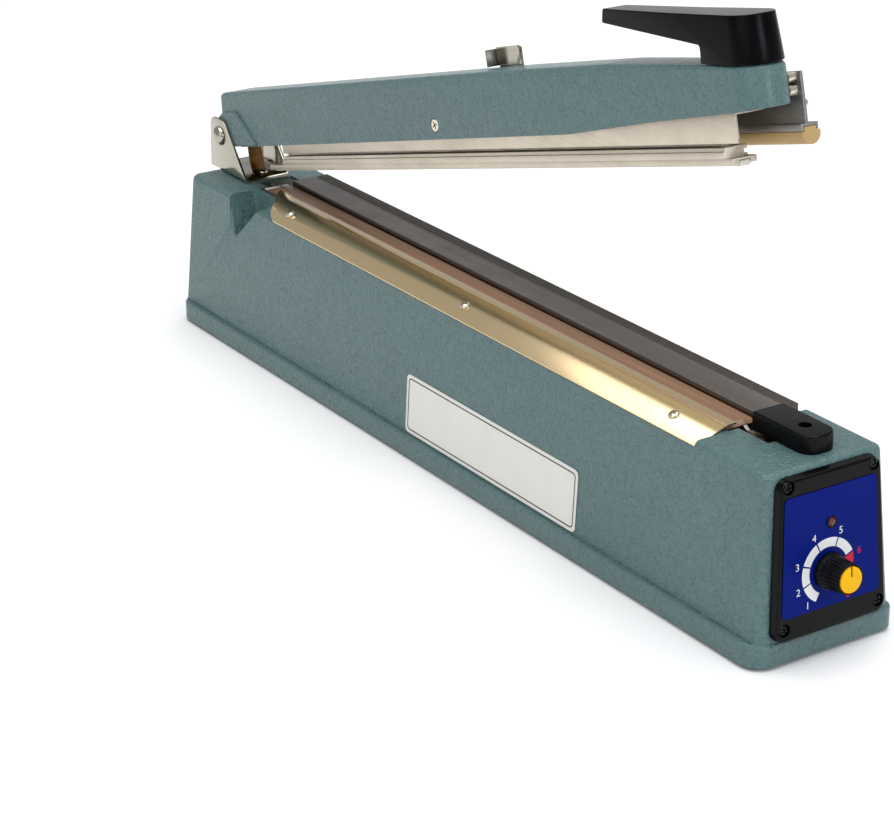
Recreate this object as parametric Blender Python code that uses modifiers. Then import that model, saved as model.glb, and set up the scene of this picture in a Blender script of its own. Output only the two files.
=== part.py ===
"""Hand impulse sealer with a sliding cutter, standing open at rest.

Metres, +Z up. +X is the end with the timer panel, -Y is the side with the label.
The origin is on the table, under the middle of the base.
"""
import math

import bmesh
import bpy
from mathutils import Euler, Matrix, Vector

MM = 0.001

# Clearances shared by every piece
GAP = 0.3 * MM
THIN_GAP = 0.15 * MM
OVERRUN = 6.0 * MM
MERGE = 0.00001

# Base casting
BASE_LENGTH = 555.0 * MM
BASE_WIDTH = 84.0 * MM
BASE_HALF = BASE_WIDTH / 2
FLANGE_HEIGHT = 11.0 * MM
FLANGE_LEDGE = 3.0 * MM
FLANGE_CORNER = 11.0 * MM
BODY_HEIGHT = 91.4 * MM
END_DRAFT = 6.0 * MM
SIDE_DRAFT = 4.7 * MM
BODY_CORNER = 5.0 * MM
TOP_EDGE = 4.0 * MM
WALL = 3.0 * MM
ROOF = 3.0 * MM
ROUND_STEPS = 4

# Deck between the two end blocks
BLOCKS_LENGTH = 115.0 * MM
DECK_LENGTH = BASE_LENGTH - BLOCKS_LENGTH
DECK_REAR = -DECK_LENGTH / 2
DECK_FRONT = DECK_LENGTH / 2
CREASE_DROP = 25.4 * MM
CREASE_HEIGHT = BODY_HEIGHT - CREASE_DROP
SHOULDER_INSET = 9.6 * MM
SHOULDER_HALF = BASE_HALF - SHOULDER_INSET
SHOULDER_DROP = 4.55 * MM
SHOULDER_HEIGHT = BODY_HEIGHT - SHOULDER_DROP
SLOPE_TOP_Y = -15.4 * MM
SLOPE_TOP_RISE = 1.55 * MM
SLOPE_TOP_HEIGHT = BODY_HEIGHT + SLOPE_TOP_RISE
CHANNEL_NEAR = -14.6 * MM
CHANNEL_FAR_INSET = 13.8 * MM
CHANNEL_FAR = BASE_HALF - CHANNEL_FAR_INSET
CHANNEL_DEPTH = 7.4 * MM
CHANNEL_FLOOR = BODY_HEIGHT - CHANNEL_DEPTH

# Hollow between the rear block and the near slope, with the rib that keeps the wall whole under it
NOTCH_FOOT = 6.5 * MM
NOTCH_SPREAD_SHARE = 1.0
NOTCH_FAR = -17.0 * MM
NOTCH_RIB_INSET = 7.8 * MM
NOTCH_RIB_NEAR = -BASE_HALF + NOTCH_RIB_INSET

# Feet and bottom cover
FOOT_STAND = 2.0 * MM
FOOT_RADIUS = 7.0 * MM
FOOT_STEM_RADIUS = 2.2 * MM
FOOT_STEM_LENGTH = 10.0 * MM
FOOT_BEVEL = 0.8 * MM
FOOT_INSET_X = 24.0 * MM
FOOT_INSET_Y = 15.0 * MM
COVER_RAISE = 0.6 * MM
COVER_THICKNESS = 1.6 * MM
BOSS_RADIUS = 5.0 * MM

# Chrome cover strip over the near slope
STRIP_EDGE_INSET = 9.1 * MM
STRIP_EDGE_Y = -BASE_HALF + STRIP_EDGE_INSET
STRIP_EDGE_DROP = 3.4 * MM
STRIP_EDGE_HEIGHT = BODY_HEIGHT - STRIP_EDGE_DROP
STRIP_BEND_Y = -15.2 * MM
STRIP_LIP_Y = -9.5 * MM
STRIP_LIP_RISE = 2.9 * MM
STRIP_LIP_HEIGHT = BODY_HEIGHT + STRIP_LIP_RISE
STRIP_THICKNESS = 0.8 * MM
STRIP_REAR_GAP = 17.0 * MM
STRIP_REAR = DECK_REAR + STRIP_REAR_GAP
STRIP_CORNER_GAP = 43.0 * MM
STRIP_CORNER_X = DECK_REAR + STRIP_CORNER_GAP
STRIP_CORNER_ROUND = 30.0 * MM
STRIP_FRONT_GAP = 0.6 * MM
STRIP_FRONT = DECK_FRONT - STRIP_FRONT_GAP
STRIP_SCREW_REAR = 53.0 * MM
STRIP_SCREW_MIDDLE = 15.0 * MM
STRIP_SCREW_FRONT = 29.0 * MM
STRIP_SCREWS_X = (DECK_REAR + STRIP_SCREW_REAR, STRIP_SCREW_MIDDLE, DECK_FRONT - STRIP_SCREW_FRONT)
STRIP_SCREW_SHIFT = 0.55 * MM
STRIP_SCREW_Y = (STRIP_EDGE_Y + STRIP_BEND_Y) / 2 + STRIP_SCREW_SHIFT

# Sealing bed: bar, tape, element and sheet
BED_BAR_FAR = 2.6 * MM
BED_BAR_REAR_GAP = 4.0 * MM
BED_BAR_REAR = DECK_REAR + BED_BAR_REAR_GAP
BED_BAR_FRONT_GAP = 5.5 * MM
BED_BAR_FRONT = DECK_FRONT - BED_BAR_FRONT_GAP
BED_BAR_HEIGHT = 7.9 * MM
TAPE_THICKNESS = 0.2 * MM
TAPE_INSET = 0.8 * MM
ELEMENT_THICKNESS = 0.2 * MM
ELEMENT_WIDTH = 2.0 * MM
ELEMENT_Y = -3.4 * MM
ELEMENT_DROP_RUN = 6.0 * MM
ELEMENT_TAIL = 12.0 * MM
SHEET_THICKNESS = 0.25 * MM
SHEET_REAR_GAP = 9.0 * MM
SHEET_REAR = DECK_REAR + SHEET_REAR_GAP
SHEET_FOLD_RUN = 3.0 * MM
SHEET_FOLD_DROP = 1.7 * MM

# Ribbed far rail of the bed
RAIL_REAR_GAP = 8.0 * MM
RAIL_NEAR = 3.8 * MM
RAIL_FAR_INSET = 14.5 * MM
RAIL_FAR = BASE_HALF - RAIL_FAR_INSET
RAIL_HEIGHT = 11.0 * MM
RAIL_LIP = 1.0 * MM
RAIL_RIB = 0.7 * MM
RAIL_RIB_DEPTH = 0.8 * MM
RAIL_FLAT_DROP = 0.4 * MM
RAIL_RIBS = 4

# Terminals of the heating element and their cover
POCKET_NEAR = -8.6 * MM
FRONT_POCKET_REACH = 21.0 * MM
FRONT_POCKET_END = DECK_FRONT + FRONT_POCKET_REACH
FRONT_POCKET_FAR = 3.2 * MM
REAR_POCKET_REACH = 11.2 * MM
REAR_POCKET_END = DECK_REAR - REAR_POCKET_REACH
REAR_POCKET_FAR = 14.0 * MM
TERMINAL_MARGIN = 0.7 * MM
FRONT_TERMINAL_HEIGHT = 4.9 * MM
REAR_TERMINAL_HEIGHT = 6.4 * MM
TERMINAL_COVER_GAP = 3.8 * MM
TERMINAL_COVER_REAR = DECK_FRONT + TERMINAL_COVER_GAP
TERMINAL_COVER_LENGTH = 39.7 * MM
TERMINAL_COVER_NEAR = -4.6 * MM
TERMINAL_COVER_WIDTH = 19.0 * MM
TERMINAL_COVER_RISE = 9.1 * MM
TERMINAL_COVER_TOP = BODY_HEIGHT + TERMINAL_COVER_RISE
TERMINAL_COVER_WALL = 2.0 * MM
TERMINAL_COVER_CORNER = 7.5 * MM
TERMINAL_COVER_HOLLOW = 16.0 * MM
TERMINAL_COVER_SCREW_AT = 26.2 * MM
TERMINAL_COVER_SCREW_X = TERMINAL_COVER_REAR + TERMINAL_COVER_SCREW_AT
TERMINAL_COVER_EDGE = 1.2 * MM
COUNTERBORE_DEPTH = 3.4 * MM

# Hinge: pivot place above the flange's underside, bracket and pin
PIVOT_INSET = 14.5 * MM
PIVOT_X = -BASE_LENGTH / 2 + PIVOT_INSET
PIVOT_RISE = 22.4 * MM
PIVOT_HEIGHT = BODY_HEIGHT + PIVOT_RISE
ARM_CENTRE_Y = -1.4 * MM
LUG_WIDTH = 27.0 * MM
BRACKET_THICKNESS = 1.7 * MM
BRACKET_REAR = 12.5 * MM
BRACKET_FRONT = 31.5 * MM
BRACKET_TOP_RISE = 10.2 * MM
BRACKET_TOP_REAR = 11.0 * MM
BRACKET_TOP_FRONT = 5.0 * MM
BRACKET_TOP_ROUND = 6.0 * MM
PIN_RADIUS = 3.0 * MM
PIN_HEAD_RADIUS = 6.5 * MM
PIN_HEAD_HEIGHT = 3.5 * MM
PIN_TAIL_RADIUS = 4.4 * MM
PIN_TAIL_HEIGHT = 1.4 * MM
BRACKET_SCREW_AT = 1.0 * MM
BRACKET_SCREW_X = PIVOT_X + BRACKET_SCREW_AT
BRACKET_SCREW_SPACING = 17.2 * MM

# Return spring: a leaf that stands up into the arm
LEAF_WIDTH = 9.0 * MM
LEAF_THICKNESS = 0.8 * MM
LEAF_FOOT_AT = 29.5 * MM
LEAF_FOOT_FRONT = PIVOT_X + LEAF_FOOT_AT
LEAF_FOOT_LENGTH = 8.5 * MM
LEAF_BEND = 4.0 * MM
LEAF_LEAN_AT = 13.4 * MM
LEAF_LEAN_X = PIVOT_X + LEAF_LEAN_AT
LEAF_LEAN_RISE = 5.2 * MM
LEAF_LEAN_HEIGHT = PIVOT_HEIGHT + LEAF_LEAN_RISE
LEAF_TIP_AT = 23.0 * MM
LEAF_TIP_X = PIVOT_X + LEAF_TIP_AT
LEAF_TIP_RISE = 28.8 * MM
LEAF_TIP_HEIGHT = PIVOT_HEIGHT + LEAF_TIP_RISE
LEAF_STEPS = 8
LEAF_BEND_START = 270.0
LEAF_BEND_END = 190.0
LEAF_SCREW_AT = 25.0 * MM
LEAF_SCREW_X = PIVOT_X + LEAF_SCREW_AT

# Opening angles of the arm and of the bars it carries
ARM_OPEN = math.radians(15.0)
BARS_OPEN = math.radians(14.7)

# Arm casting, in lengths from the pivot along and above the arm
NOSE_SHORT = 58.7 * MM
ARM_NOSE_CENTRE = BASE_LENGTH - NOSE_SHORT
ARM_REAR_TOP = 3.7 * MM
ARM_REAR = 1.5 * MM
ARM_REAR_SHOULDER = 13.7 * MM
ARM_TOP = 25.2 * MM
ARM_BOTTOM = 7.8 * MM
ARM_TOP_STRAIGHT_BACK = 182.3 * MM
ARM_TOP_STRAIGHT = ARM_NOSE_CENTRE - ARM_TOP_STRAIGHT_BACK
ARM_TOP_MID_BACK = 96.3 * MM
ARM_TOP_MID = ARM_NOSE_CENTRE - ARM_TOP_MID_BACK
ARM_TOP_MID_DROP = 0.9 * MM
ARM_TOP_FRONT_BACK = 21.3 * MM
ARM_TOP_FRONT = ARM_NOSE_CENTRE - ARM_TOP_FRONT_BACK
ARM_TOP_FRONT_DROP = 4.6 * MM
ARM_BOTTOM_STRAIGHT_BACK = 137.3 * MM
ARM_BOTTOM_STRAIGHT = ARM_NOSE_CENTRE - ARM_BOTTOM_STRAIGHT_BACK
ARM_BOTTOM_MID_BACK = 103.9 * MM
ARM_BOTTOM_MID = ARM_NOSE_CENTRE - ARM_BOTTOM_MID_BACK
ARM_BOTTOM_MID_RISE = 1.0 * MM
ARM_BOTTOM_FRONT_BACK = 63.5 * MM
ARM_BOTTOM_FRONT = ARM_NOSE_CENTRE - ARM_BOTTOM_FRONT_BACK
ARM_BOTTOM_FRONT_RISE = 4.2 * MM
ARM_NOSE_BOTTOM_RISE = 7.6 * MM
ARM_NOSE_TOP_DROP = 7.0 * MM
ARM_REAR_WIDTH = 24.0 * MM
ARM_WALL = 2.8 * MM
ARM_CAVITY_REAR = 27.0 * MM
ARM_CAVITY_FRONT_BACK = 5.3 * MM
ARM_CAVITY_FRONT = ARM_NOSE_CENTRE - ARM_CAVITY_FRONT_BACK
SPRING_SLOT_REAR = 7.0 * MM
SPRING_SLOT_WIDTH = 10.6 * MM
LUG_RADIUS = 11.0 * MM
LUG_BOTTOM = 7.4 * MM
LUG_ARC_START = 110.0
LUG_PAD_TOP_FRONT = 20.0 * MM
LUG_PAD_BREAK = 27.0 * MM
LUG_PAD_BREAK_HEIGHT = 7.2 * MM
LUG_PAD_FRONT = 41.0 * MM
NOSE_SPREAD_SHARE = 0.2
NOSE_STEPS = 12

# Countersunk screw in the arm's near side
SIDE_SCREW_AT = 243.4 * MM
SIDE_SCREW_HEIGHT = -0.4 * MM
SIDE_SCREW_HEAD = 3.3 * MM
SIDE_SCREW_SLACK = 0.45 * MM

# Handle on the arm's nose
HANDLE_REAR_TOP_BACK = 98.4 * MM
HANDLE_REAR_TOP = ARM_NOSE_CENTRE - HANDLE_REAR_TOP_BACK
HANDLE_REAR_TOP_HEIGHT = 49.8 * MM
HANDLE_REAR_BOTTOM_BACK = 99.8 * MM
HANDLE_REAR_BOTTOM = ARM_NOSE_CENTRE - HANDLE_REAR_BOTTOM_BACK
HANDLE_REAR_BOTTOM_HEIGHT = 43.2 * MM
HANDLE_CORNER_BACK = 22.3 * MM
HANDLE_CORNER = ARM_NOSE_CENTRE - HANDLE_CORNER_BACK
HANDLE_CORNER_HEIGHT = 29.2 * MM
HANDLE_MID_TOP_BACK = 42.8 * MM
HANDLE_MID_TOP = ARM_NOSE_CENTRE - HANDLE_MID_TOP_BACK
HANDLE_MID_TOP_HEIGHT = 44.7 * MM
HANDLE_FRONT_TOP_REACH = 9.7 * MM
HANDLE_FRONT_TOP = ARM_NOSE_CENTRE + HANDLE_FRONT_TOP_REACH
HANDLE_FRONT_TOP_HEIGHT = 40.4 * MM
HANDLE_REAR_WIDTH = 13.6 * MM
HANDLE_TOP_FRONT_WIDTH = 24.0 * MM
HANDLE_SCREW_AT_BACK = 14.3 * MM
HANDLE_SCREW_AT = ARM_NOSE_CENTRE - HANDLE_SCREW_AT_BACK
HANDLE_SCREW_LENGTH = 17.0 * MM

# Inner beam, press bar and its pad, in lengths from the pivot
BEAM_REAR = 64.4 * MM
BEAM_FRONT_BACK = 7.3 * MM
BEAM_FRONT = ARM_NOSE_CENTRE - BEAM_FRONT_BACK
BEAM_FAR_BACK = 36.3 * MM
BEAM_FAR_FRONT = ARM_NOSE_CENTRE - BEAM_FAR_BACK
BEAM_WIDTH = 17.2 * MM
BEAM_BOTTOM = 11.0 * MM
BEAM_TOP = 1.2 * MM
BEAM_WALL = 1.2 * MM
BAR_REAR = 45.2 * MM
BAR_FRONT_BACK = 12.3 * MM
BAR_FRONT = ARM_NOSE_CENTRE - BAR_FRONT_BACK
BAR_NEAR = -10.0 * MM
BAR_FAR = 3.4 * MM
BAR_BOTTOM = 22.4 * MM
BAR_FLANGE = 3.0 * MM
BAR_TOP = 14.6 * MM
BAR_UPPER_REAR = 62.0 * MM
BAR_UPPER_FRONT_BACK = 18.3 * MM
BAR_UPPER_FRONT = ARM_NOSE_CENTRE - BAR_UPPER_FRONT_BACK
BAR_GROOVE = 1.8 * MM
BAR_STEM_BACK = 27.3 * MM
BAR_STEM_FRONT = ARM_NOSE_CENTRE - BAR_STEM_BACK
BAR_STEM_NEAR = -3.6 * MM
BAR_STEM_FAR = 0.8 * MM
BAR_STEM_TOP = 5.4 * MM
PAD_WIDTH = 6.0 * MM
PAD_CENTRE_Y = -3.4 * MM
PAD_PROUD = 1.0 * MM
PAD_DEPTH = 1.6 * MM
GUIDE_PIN_RADIUS = 1.6 * MM
GUIDE_PIN_REAR = 55.5 * MM
GUIDE_PIN_FRONT_BACK = 30.3 * MM
GUIDE_PIN_FRONT = ARM_NOSE_CENTRE - GUIDE_PIN_FRONT_BACK
GUIDE_PIN_Y = -1.4 * MM
GUIDE_PIN_REAR_TOP = 4.0 * MM
GUIDE_PIN_FRONT_TOP = 10.0 * MM

# Cutter rail beside the arm, with its holder and silicone strip
HOLDER_REAR = 58.0 * MM
HOLDER_FRONT_REACH = 6.7 * MM
HOLDER_FRONT = ARM_NOSE_CENTRE + HOLDER_FRONT_REACH
HOLDER_NEAR = 15.0 * MM
HOLDER_FAR = 24.6 * MM
HOLDER_BOTTOM = 11.6 * MM
HOLDER_TOP = 8.4 * MM
HOLDER_WALL = 1.2 * MM
PLATE_NEAR = 17.7 * MM
PLATE_THICKNESS = 1.5 * MM
PLATE_TOP = 14.8 * MM
BULB_NEAR = 15.1 * MM
BULB_FAR = 25.5 * MM
BULB_BOTTOM = 18.0 * MM
BULB_STEPS = 8
SPACER_RADIUS = 2.5 * MM
SPACER_FRONT_REACH = 2.7 * MM
SPACER_FRONT = ARM_NOSE_CENTRE + SPACER_FRONT_REACH
SPACER_REAR = 70.0 * MM
SPACER_UPPER = 12.6 * MM
SPACER_LOWER = 6.8 * MM
RAIL_SCREW_HEIGHT = 0.2 * MM

# Sliding cutter on the rail
CUTTER_AT = 271.0 * MM
CUTTER_WIDTH = 21.3 * MM
CUTTER_PLATE_Y = 13.5 * MM
CUTTER_PLATE_THICKNESS = 1.0 * MM
CUTTER_TOP = 34.5 * MM
CUTTER_BOTTOM = 12.6 * MM
CUTTER_FLANGE_NEAR = 5.7 * MM
CUTTER_FLANGE_THICKNESS = 1.0 * MM
CUTTER_FLANGE_BOTTOM = 25.8 * MM
THUMB_THICKNESS = 1.5 * MM
THUMB_TOP = 35.3 * MM
BLADE_THICKNESS = 0.5 * MM
BLADE_LENGTH = 9.0 * MM
BLADE_OFFSET = 6.0 * MM
BLADE_TOP = 8.6 * MM
BLADE_TIP = 17.7 * MM

# Timer panel on the front wall, in a frame on the wall's face
PANEL_LOWERED = 0.8 * MM
PANEL_MID = (BODY_HEIGHT + FLANGE_HEIGHT) / 2 - PANEL_LOWERED
BEZEL_MARGIN = 1.2 * MM
BEZEL_HALF_HEIGHT = (BODY_HEIGHT - FLANGE_HEIGHT) / 2 - BEZEL_MARGIN
BEZEL_BOTTOM_INSET = 8.7 * MM
BEZEL_BOTTOM_HALF = BASE_HALF - BEZEL_BOTTOM_INSET
BEZEL_TOP_INSET = 12.6 * MM
BEZEL_TOP_HALF = BASE_HALF - BEZEL_TOP_INSET
BEZEL_THICKNESS = 4.5 * MM
BEZEL_CORNER = 6.0 * MM
PANEL_WINDOW_INSET = 7.4 * MM
PANEL_WINDOW_HALF = BEZEL_TOP_HALF - PANEL_WINDOW_INSET
PANEL_WINDOW_LOW_INSET = 12.0 * MM
PANEL_WINDOW_LOW = -BEZEL_HALF_HEIGHT + PANEL_WINDOW_LOW_INSET
PANEL_WINDOW_HIGH_INSET = 13.0 * MM
PANEL_WINDOW_HIGH = BEZEL_HALF_HEIGHT - PANEL_WINDOW_HIGH_INSET
DIAL_LOW_INSET = 12.1 * MM
DIAL_LOW = -BEZEL_HALF_HEIGHT + DIAL_LOW_INSET
DIAL_HIGH_INSET = 8.5 * MM
DIAL_HIGH = BEZEL_HALF_HEIGHT - DIAL_HIGH_INSET
DIAL_LOW_SIDE = 4.1 * MM
DIAL_LOW_HALF = BEZEL_BOTTOM_HALF - DIAL_LOW_SIDE
DIAL_HIGH_SIDE = 2.2 * MM
DIAL_HIGH_HALF = BEZEL_TOP_HALF - DIAL_HIGH_SIDE
DIAL_CENTRE_Y = -0.8 * MM
DIAL_THICKNESS = 0.3 * MM
DIAL_CORNER = 2.5 * MM
PANEL_SCREW_TOP_INSET = 3.8 * MM
PANEL_SCREW_TOP = BEZEL_HALF_HEIGHT - PANEL_SCREW_TOP_INSET
PANEL_SCREW_TOP_SIDE = 4.4 * MM
PANEL_SCREW_TOP_HALF = BEZEL_TOP_HALF - PANEL_SCREW_TOP_SIDE
PANEL_SCREW_LOW_INSET = 6.6 * MM
PANEL_SCREW_LOW = -BEZEL_HALF_HEIGHT + PANEL_SCREW_LOW_INSET
PANEL_SCREW_LOW_SIDE = 5.5 * MM
PANEL_SCREW_LOW_HALF = BEZEL_BOTTOM_HALF - PANEL_SCREW_LOW_SIDE
KNOB_Y = -2.5 * MM
KNOB_T = -9.2 * MM
KNOB_HEIGHT = 15.0 * MM
KNOB_BASE_RADIUS = 8.8 * MM
KNOB_TOP_RADIUS = 7.3 * MM
KNOB_SKIRT_HEIGHT = 2.6 * MM
CAP_RADIUS = 6.3 * MM
CAP_THICKNESS = 1.3 * MM
CAP_SEAT_DEPTH = 1.1 * MM
LAMP_Y = -0.7 * MM
LAMP_T = 13.6 * MM
LAMP_RADIUS = 2.5 * MM
LAMP_LENGTH = 12.0 * MM
LAMP_DOME = 1.6 * MM

# Potentiometer and timer board behind the panel
POT_BODY_RADIUS = 8.0 * MM
POT_BODY_DEPTH = 8.0 * MM
POT_BUSH_RADIUS = 3.5 * MM
POT_BUSH_PROUD = 2.0 * MM
POT_SHAFT_RADIUS = 3.0 * MM
POT_SHAFT_REACH = 10.0 * MM
BOARD_THICKNESS = 1.6 * MM
BOARD_SIDE = 5.4 * MM
BOARD_HALF = BEZEL_TOP_HALF - BOARD_SIDE
BOARD_MARGIN = 12.0 * MM
BOARD_HEIGHT = (BEZEL_HALF_HEIGHT - BOARD_MARGIN) * 2

# Transformer on the bottom cover
CORE_LENGTH = 90.0 * MM
CORE_HEADROOM = 17.4 * MM
CORE_HEIGHT = BODY_HEIGHT - CORE_HEADROOM
CORE_SIDE_ROOM = 44.0 * MM
CORE_STACK = BASE_WIDTH - CORE_SIDE_ROOM
CORE_LIMB = 15.0 * MM
CORE_CENTRE_LIMB = 30.0 * MM
COIL_BULGE = 11.0 * MM
COIL_GAP = 0.5 * MM

# Microswitch under the rear block and the plunger that the arm presses
SWITCH_LENGTH = 20.0 * MM
SWITCH_WIDTH = 9.0 * MM
SWITCH_HEIGHT = 16.0 * MM
SWITCH_WELL = 5.0 * MM
PLUNGER_AT = 9.0 * MM
PLUNGER_X = PIVOT_X + PLUNGER_AT
PLUNGER_Y = 6.0 * MM
PLUNGER_RADIUS = 1.6 * MM
PLUNGER_RISE = 16.6 * MM
PLUNGER_TOP = BODY_HEIGHT + PLUNGER_RISE
PLUNGER_TRAVEL = 2.1 * MM
BLOCK_ROOF_THICKNESS = 3.0 * MM
BLOCK_ROOF = BODY_HEIGHT - BLOCK_ROOF_THICKNESS
REAR_HOLLOW_GAP = 12.3 * MM
REAR_HOLLOW_FRONT = REAR_POCKET_END - REAR_HOLLOW_GAP
FRONT_HOLLOW_GAP = 3.5 * MM
FRONT_HOLLOW_REAR = FRONT_POCKET_END + FRONT_HOLLOW_GAP
HOLLOW_INSET = 17.0 * MM
HOLLOW_HALF = BASE_HALF - HOLLOW_INSET

# Cord gland in the rear wall
GLAND_Y = 18.0 * MM
GLAND_HEIGHT = 28.0 * MM
GLAND_RADIUS = 6.0 * MM
GLAND_FLANGE_RADIUS = 8.5 * MM
GLAND_FLANGE = 1.8 * MM
GLAND_LENGTH = 9.0 * MM
GLAND_BORE = 3.6 * MM

# Blank label on the near wall
LABEL_REAR = -20.0 * MM
LABEL_FRONT = 135.5 * MM
LABEL_LOW = 12.4 * MM
LABEL_HIGH = 45.2 * MM
LABEL_THICKNESS = 0.3 * MM
LABEL_CORNER = 3.0 * MM

# Small screws: head radius, head height and shank radius
SMALL_HEAD = 2.9 * MM
SMALL_HEAD_HEIGHT = 1.7 * MM
SMALL_CROWN_SHARE = 0.6
SMALL_SHANK = 1.5 * MM
SMALL_LENGTH = 6.0 * MM
SCREW_STEPS = 16
ROUND_SEGMENTS = 24

PARTS_NAME = "impulse_sealer"
CUTTERS_NAME = "cutters"


def clear_scene():
    """Remove every object and collection that the file opened with."""
    for item in list(bpy.data.objects):
        bpy.data.objects.remove(item, do_unlink=True)
    for group in list(bpy.data.collections):
        bpy.data.collections.remove(group)


def new_collection(name):
    group = bpy.data.collections.new(name)
    bpy.context.scene.collection.children.link(group)
    return group


clear_scene()
PARTS = new_collection(PARTS_NAME)
CUTTERS = new_collection(CUTTERS_NAME)


def material(name, colour, roughness, metallic=0.0):
    """One Principled material."""
    made = bpy.data.materials.new(name)
    made.use_nodes = True
    shader = made.node_tree.nodes["Principled BSDF"]
    shader.inputs["Base Color"].default_value = (*colour, 1.0)
    shader.inputs["Roughness"].default_value = roughness
    shader.inputs["Metallic"].default_value = metallic
    made.diffuse_color = (*colour, 1.0)
    return made


def empty(name, location, rotation=(0.0, 0.0, 0.0), parent=None):
    """A frame that pieces are parented to."""
    made = bpy.data.objects.new(name, None)
    made.location = location
    made.rotation_euler = Euler(rotation)
    made.parent = parent
    PARTS.objects.link(made)
    return made


def place(name, mesh, parent, location=(0.0, 0.0, 0.0), look=None, cutter=False):
    """Put a mesh in the scene as a piece, or as a cutter."""
    mesh.name = name
    made = bpy.data.objects.new(name, mesh)
    made.location = location
    made.parent = parent
    if look:
        mesh.materials.clear()
        mesh.materials.append(look)
    if cutter:
        CUTTERS.objects.link(made)
        made.hide_render = True
        made.display_type = "WIRE"
    else:
        PARTS.objects.link(made)
    return made


def box_mesh(low, high):
    """A box between two corners."""
    shape = bmesh.new()
    bmesh.ops.create_cube(shape, size=1.0)
    size = [b - a for a, b in zip(low, high)]
    middle = [(a + b) / 2 for a, b in zip(low, high)]
    bmesh.ops.scale(shape, vec=size, verts=shape.verts)
    bmesh.ops.translate(shape, vec=middle, verts=shape.verts)
    return finished_mesh(shape)


def cylinder_mesh(radius, start, end, top_radius=None, segments=ROUND_SEGMENTS):
    """A cylinder or cone between two points."""
    start, end = Vector(start), Vector(end)
    way = end - start
    upper = radius if top_radius is None else top_radius
    shape = bmesh.new()
    bmesh.ops.create_cone(shape, cap_ends=True, segments=segments, radius1=radius, radius2=upper,
                          depth=way.length)
    turn = Vector((0, 0, 1)).rotation_difference(way).to_matrix().to_4x4()
    bmesh.ops.transform(shape, matrix=Matrix.Translation((start + end) / 2) @ turn, verts=shape.verts)
    return finished_mesh(shape)


def finished_mesh(shape):
    bmesh.ops.recalc_face_normals(shape, faces=shape.faces)
    mesh = bpy.data.meshes.new("mesh")
    shape.to_mesh(mesh)
    shape.free()
    return mesh


def joined_mesh(meshes):
    """Several separate closed shapes in one mesh, used for cutters."""
    shape = bmesh.new()
    for mesh in meshes:
        shape.from_mesh(mesh)
    for mesh in meshes:
        bpy.data.meshes.remove(mesh)
    return finished_mesh(shape)


PLANE_TURNS = {
    "XY": Matrix.Identity(4),
    "XZ": Matrix.Rotation(math.pi / 2, 4, "X"),
    "YZ": Matrix.Rotation(math.pi / 2, 4, "Z") @ Matrix.Rotation(math.pi / 2, 4, "X"),
}
PLANE_NORMALS = {"XY": Vector((0, 0, 1)), "XZ": Vector((0, 1, 0)), "YZ": Vector((1, 0, 0))}


def prism_mesh(plane, outlines, low, high):
    """Flat outlines in one plane, filled and drawn out from low to high along its normal."""
    if isinstance(outlines[0][0], float):
        outlines = [outlines]
    curve = bpy.data.curves.new("outline", "CURVE")
    curve.dimensions = "2D"
    curve.fill_mode = "BOTH"
    curve.extrude = (high - low) / 2
    for outline in outlines:
        spline = curve.splines.new("POLY")
        spline.points.add(len(outline) - 1)
        spline.use_cyclic_u = True
        for point, (a, b) in zip(spline.points, outline):
            point.co = (a, b, 0.0, 1.0)
    holder = bpy.data.objects.new("outline", curve)
    CUTTERS.objects.link(holder)
    bpy.context.view_layer.update()
    mesh = bpy.data.meshes.new_from_object(holder.evaluated_get(bpy.context.evaluated_depsgraph_get()))
    bpy.data.objects.remove(holder, do_unlink=True)
    bpy.data.curves.remove(curve)
    shape = bmesh.new()
    shape.from_mesh(mesh)
    bpy.data.meshes.remove(mesh)
    bmesh.ops.remove_doubles(shape, verts=shape.verts, dist=MERGE)
    bmesh.ops.dissolve_limit(shape, angle_limit=math.radians(0.01), verts=shape.verts, edges=shape.edges)
    bmesh.ops.transform(shape, matrix=PLANE_TURNS[plane], verts=shape.verts)
    bmesh.ops.translate(shape, vec=PLANE_NORMALS[plane] * (low + high) / 2, verts=shape.verts)
    return finished_mesh(shape)


def arc(centre, radius, start, end, steps):
    """Points on an arc, angles in degrees."""
    turns = [math.radians(start + (end - start) * k / steps) for k in range(steps + 1)]
    return [(centre[0] + radius * math.cos(t), centre[1] + radius * math.sin(t)) for t in turns]


def rounded(corners, radii, steps=ROUND_STEPS):
    """A polygon with each corner replaced by an arc of its own radius."""
    if isinstance(radii, float):
        radii = [radii] * len(corners)
    outline = []
    for k, corner in enumerate(corners):
        here = Vector(corner)
        before = (Vector(corners[k - 1]) - here).normalized()
        after = (Vector(corners[(k + 1) % len(corners)]) - here).normalized()
        if radii[k] == 0:
            outline.append(tuple(here))
            continue
        half = before.angle(after) / 2
        reach = radii[k] / math.tan(half)
        centre = here + (before + after).normalized() * (radii[k] / math.sin(half))
        first = here + before * reach - centre
        last = here + after * reach - centre
        swing = first.angle_signed(last)
        for step in range(steps + 1):
            turned = first.copy()
            turned.rotate(Matrix.Rotation(-swing * step / steps, 2))
            outline.append(tuple(centre + turned))
    return outline


def rectangle(low_a, high_a, low_b, high_b):
    return [(low_a, low_b), (high_a, low_b), (high_a, high_b), (low_a, high_b)]


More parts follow.
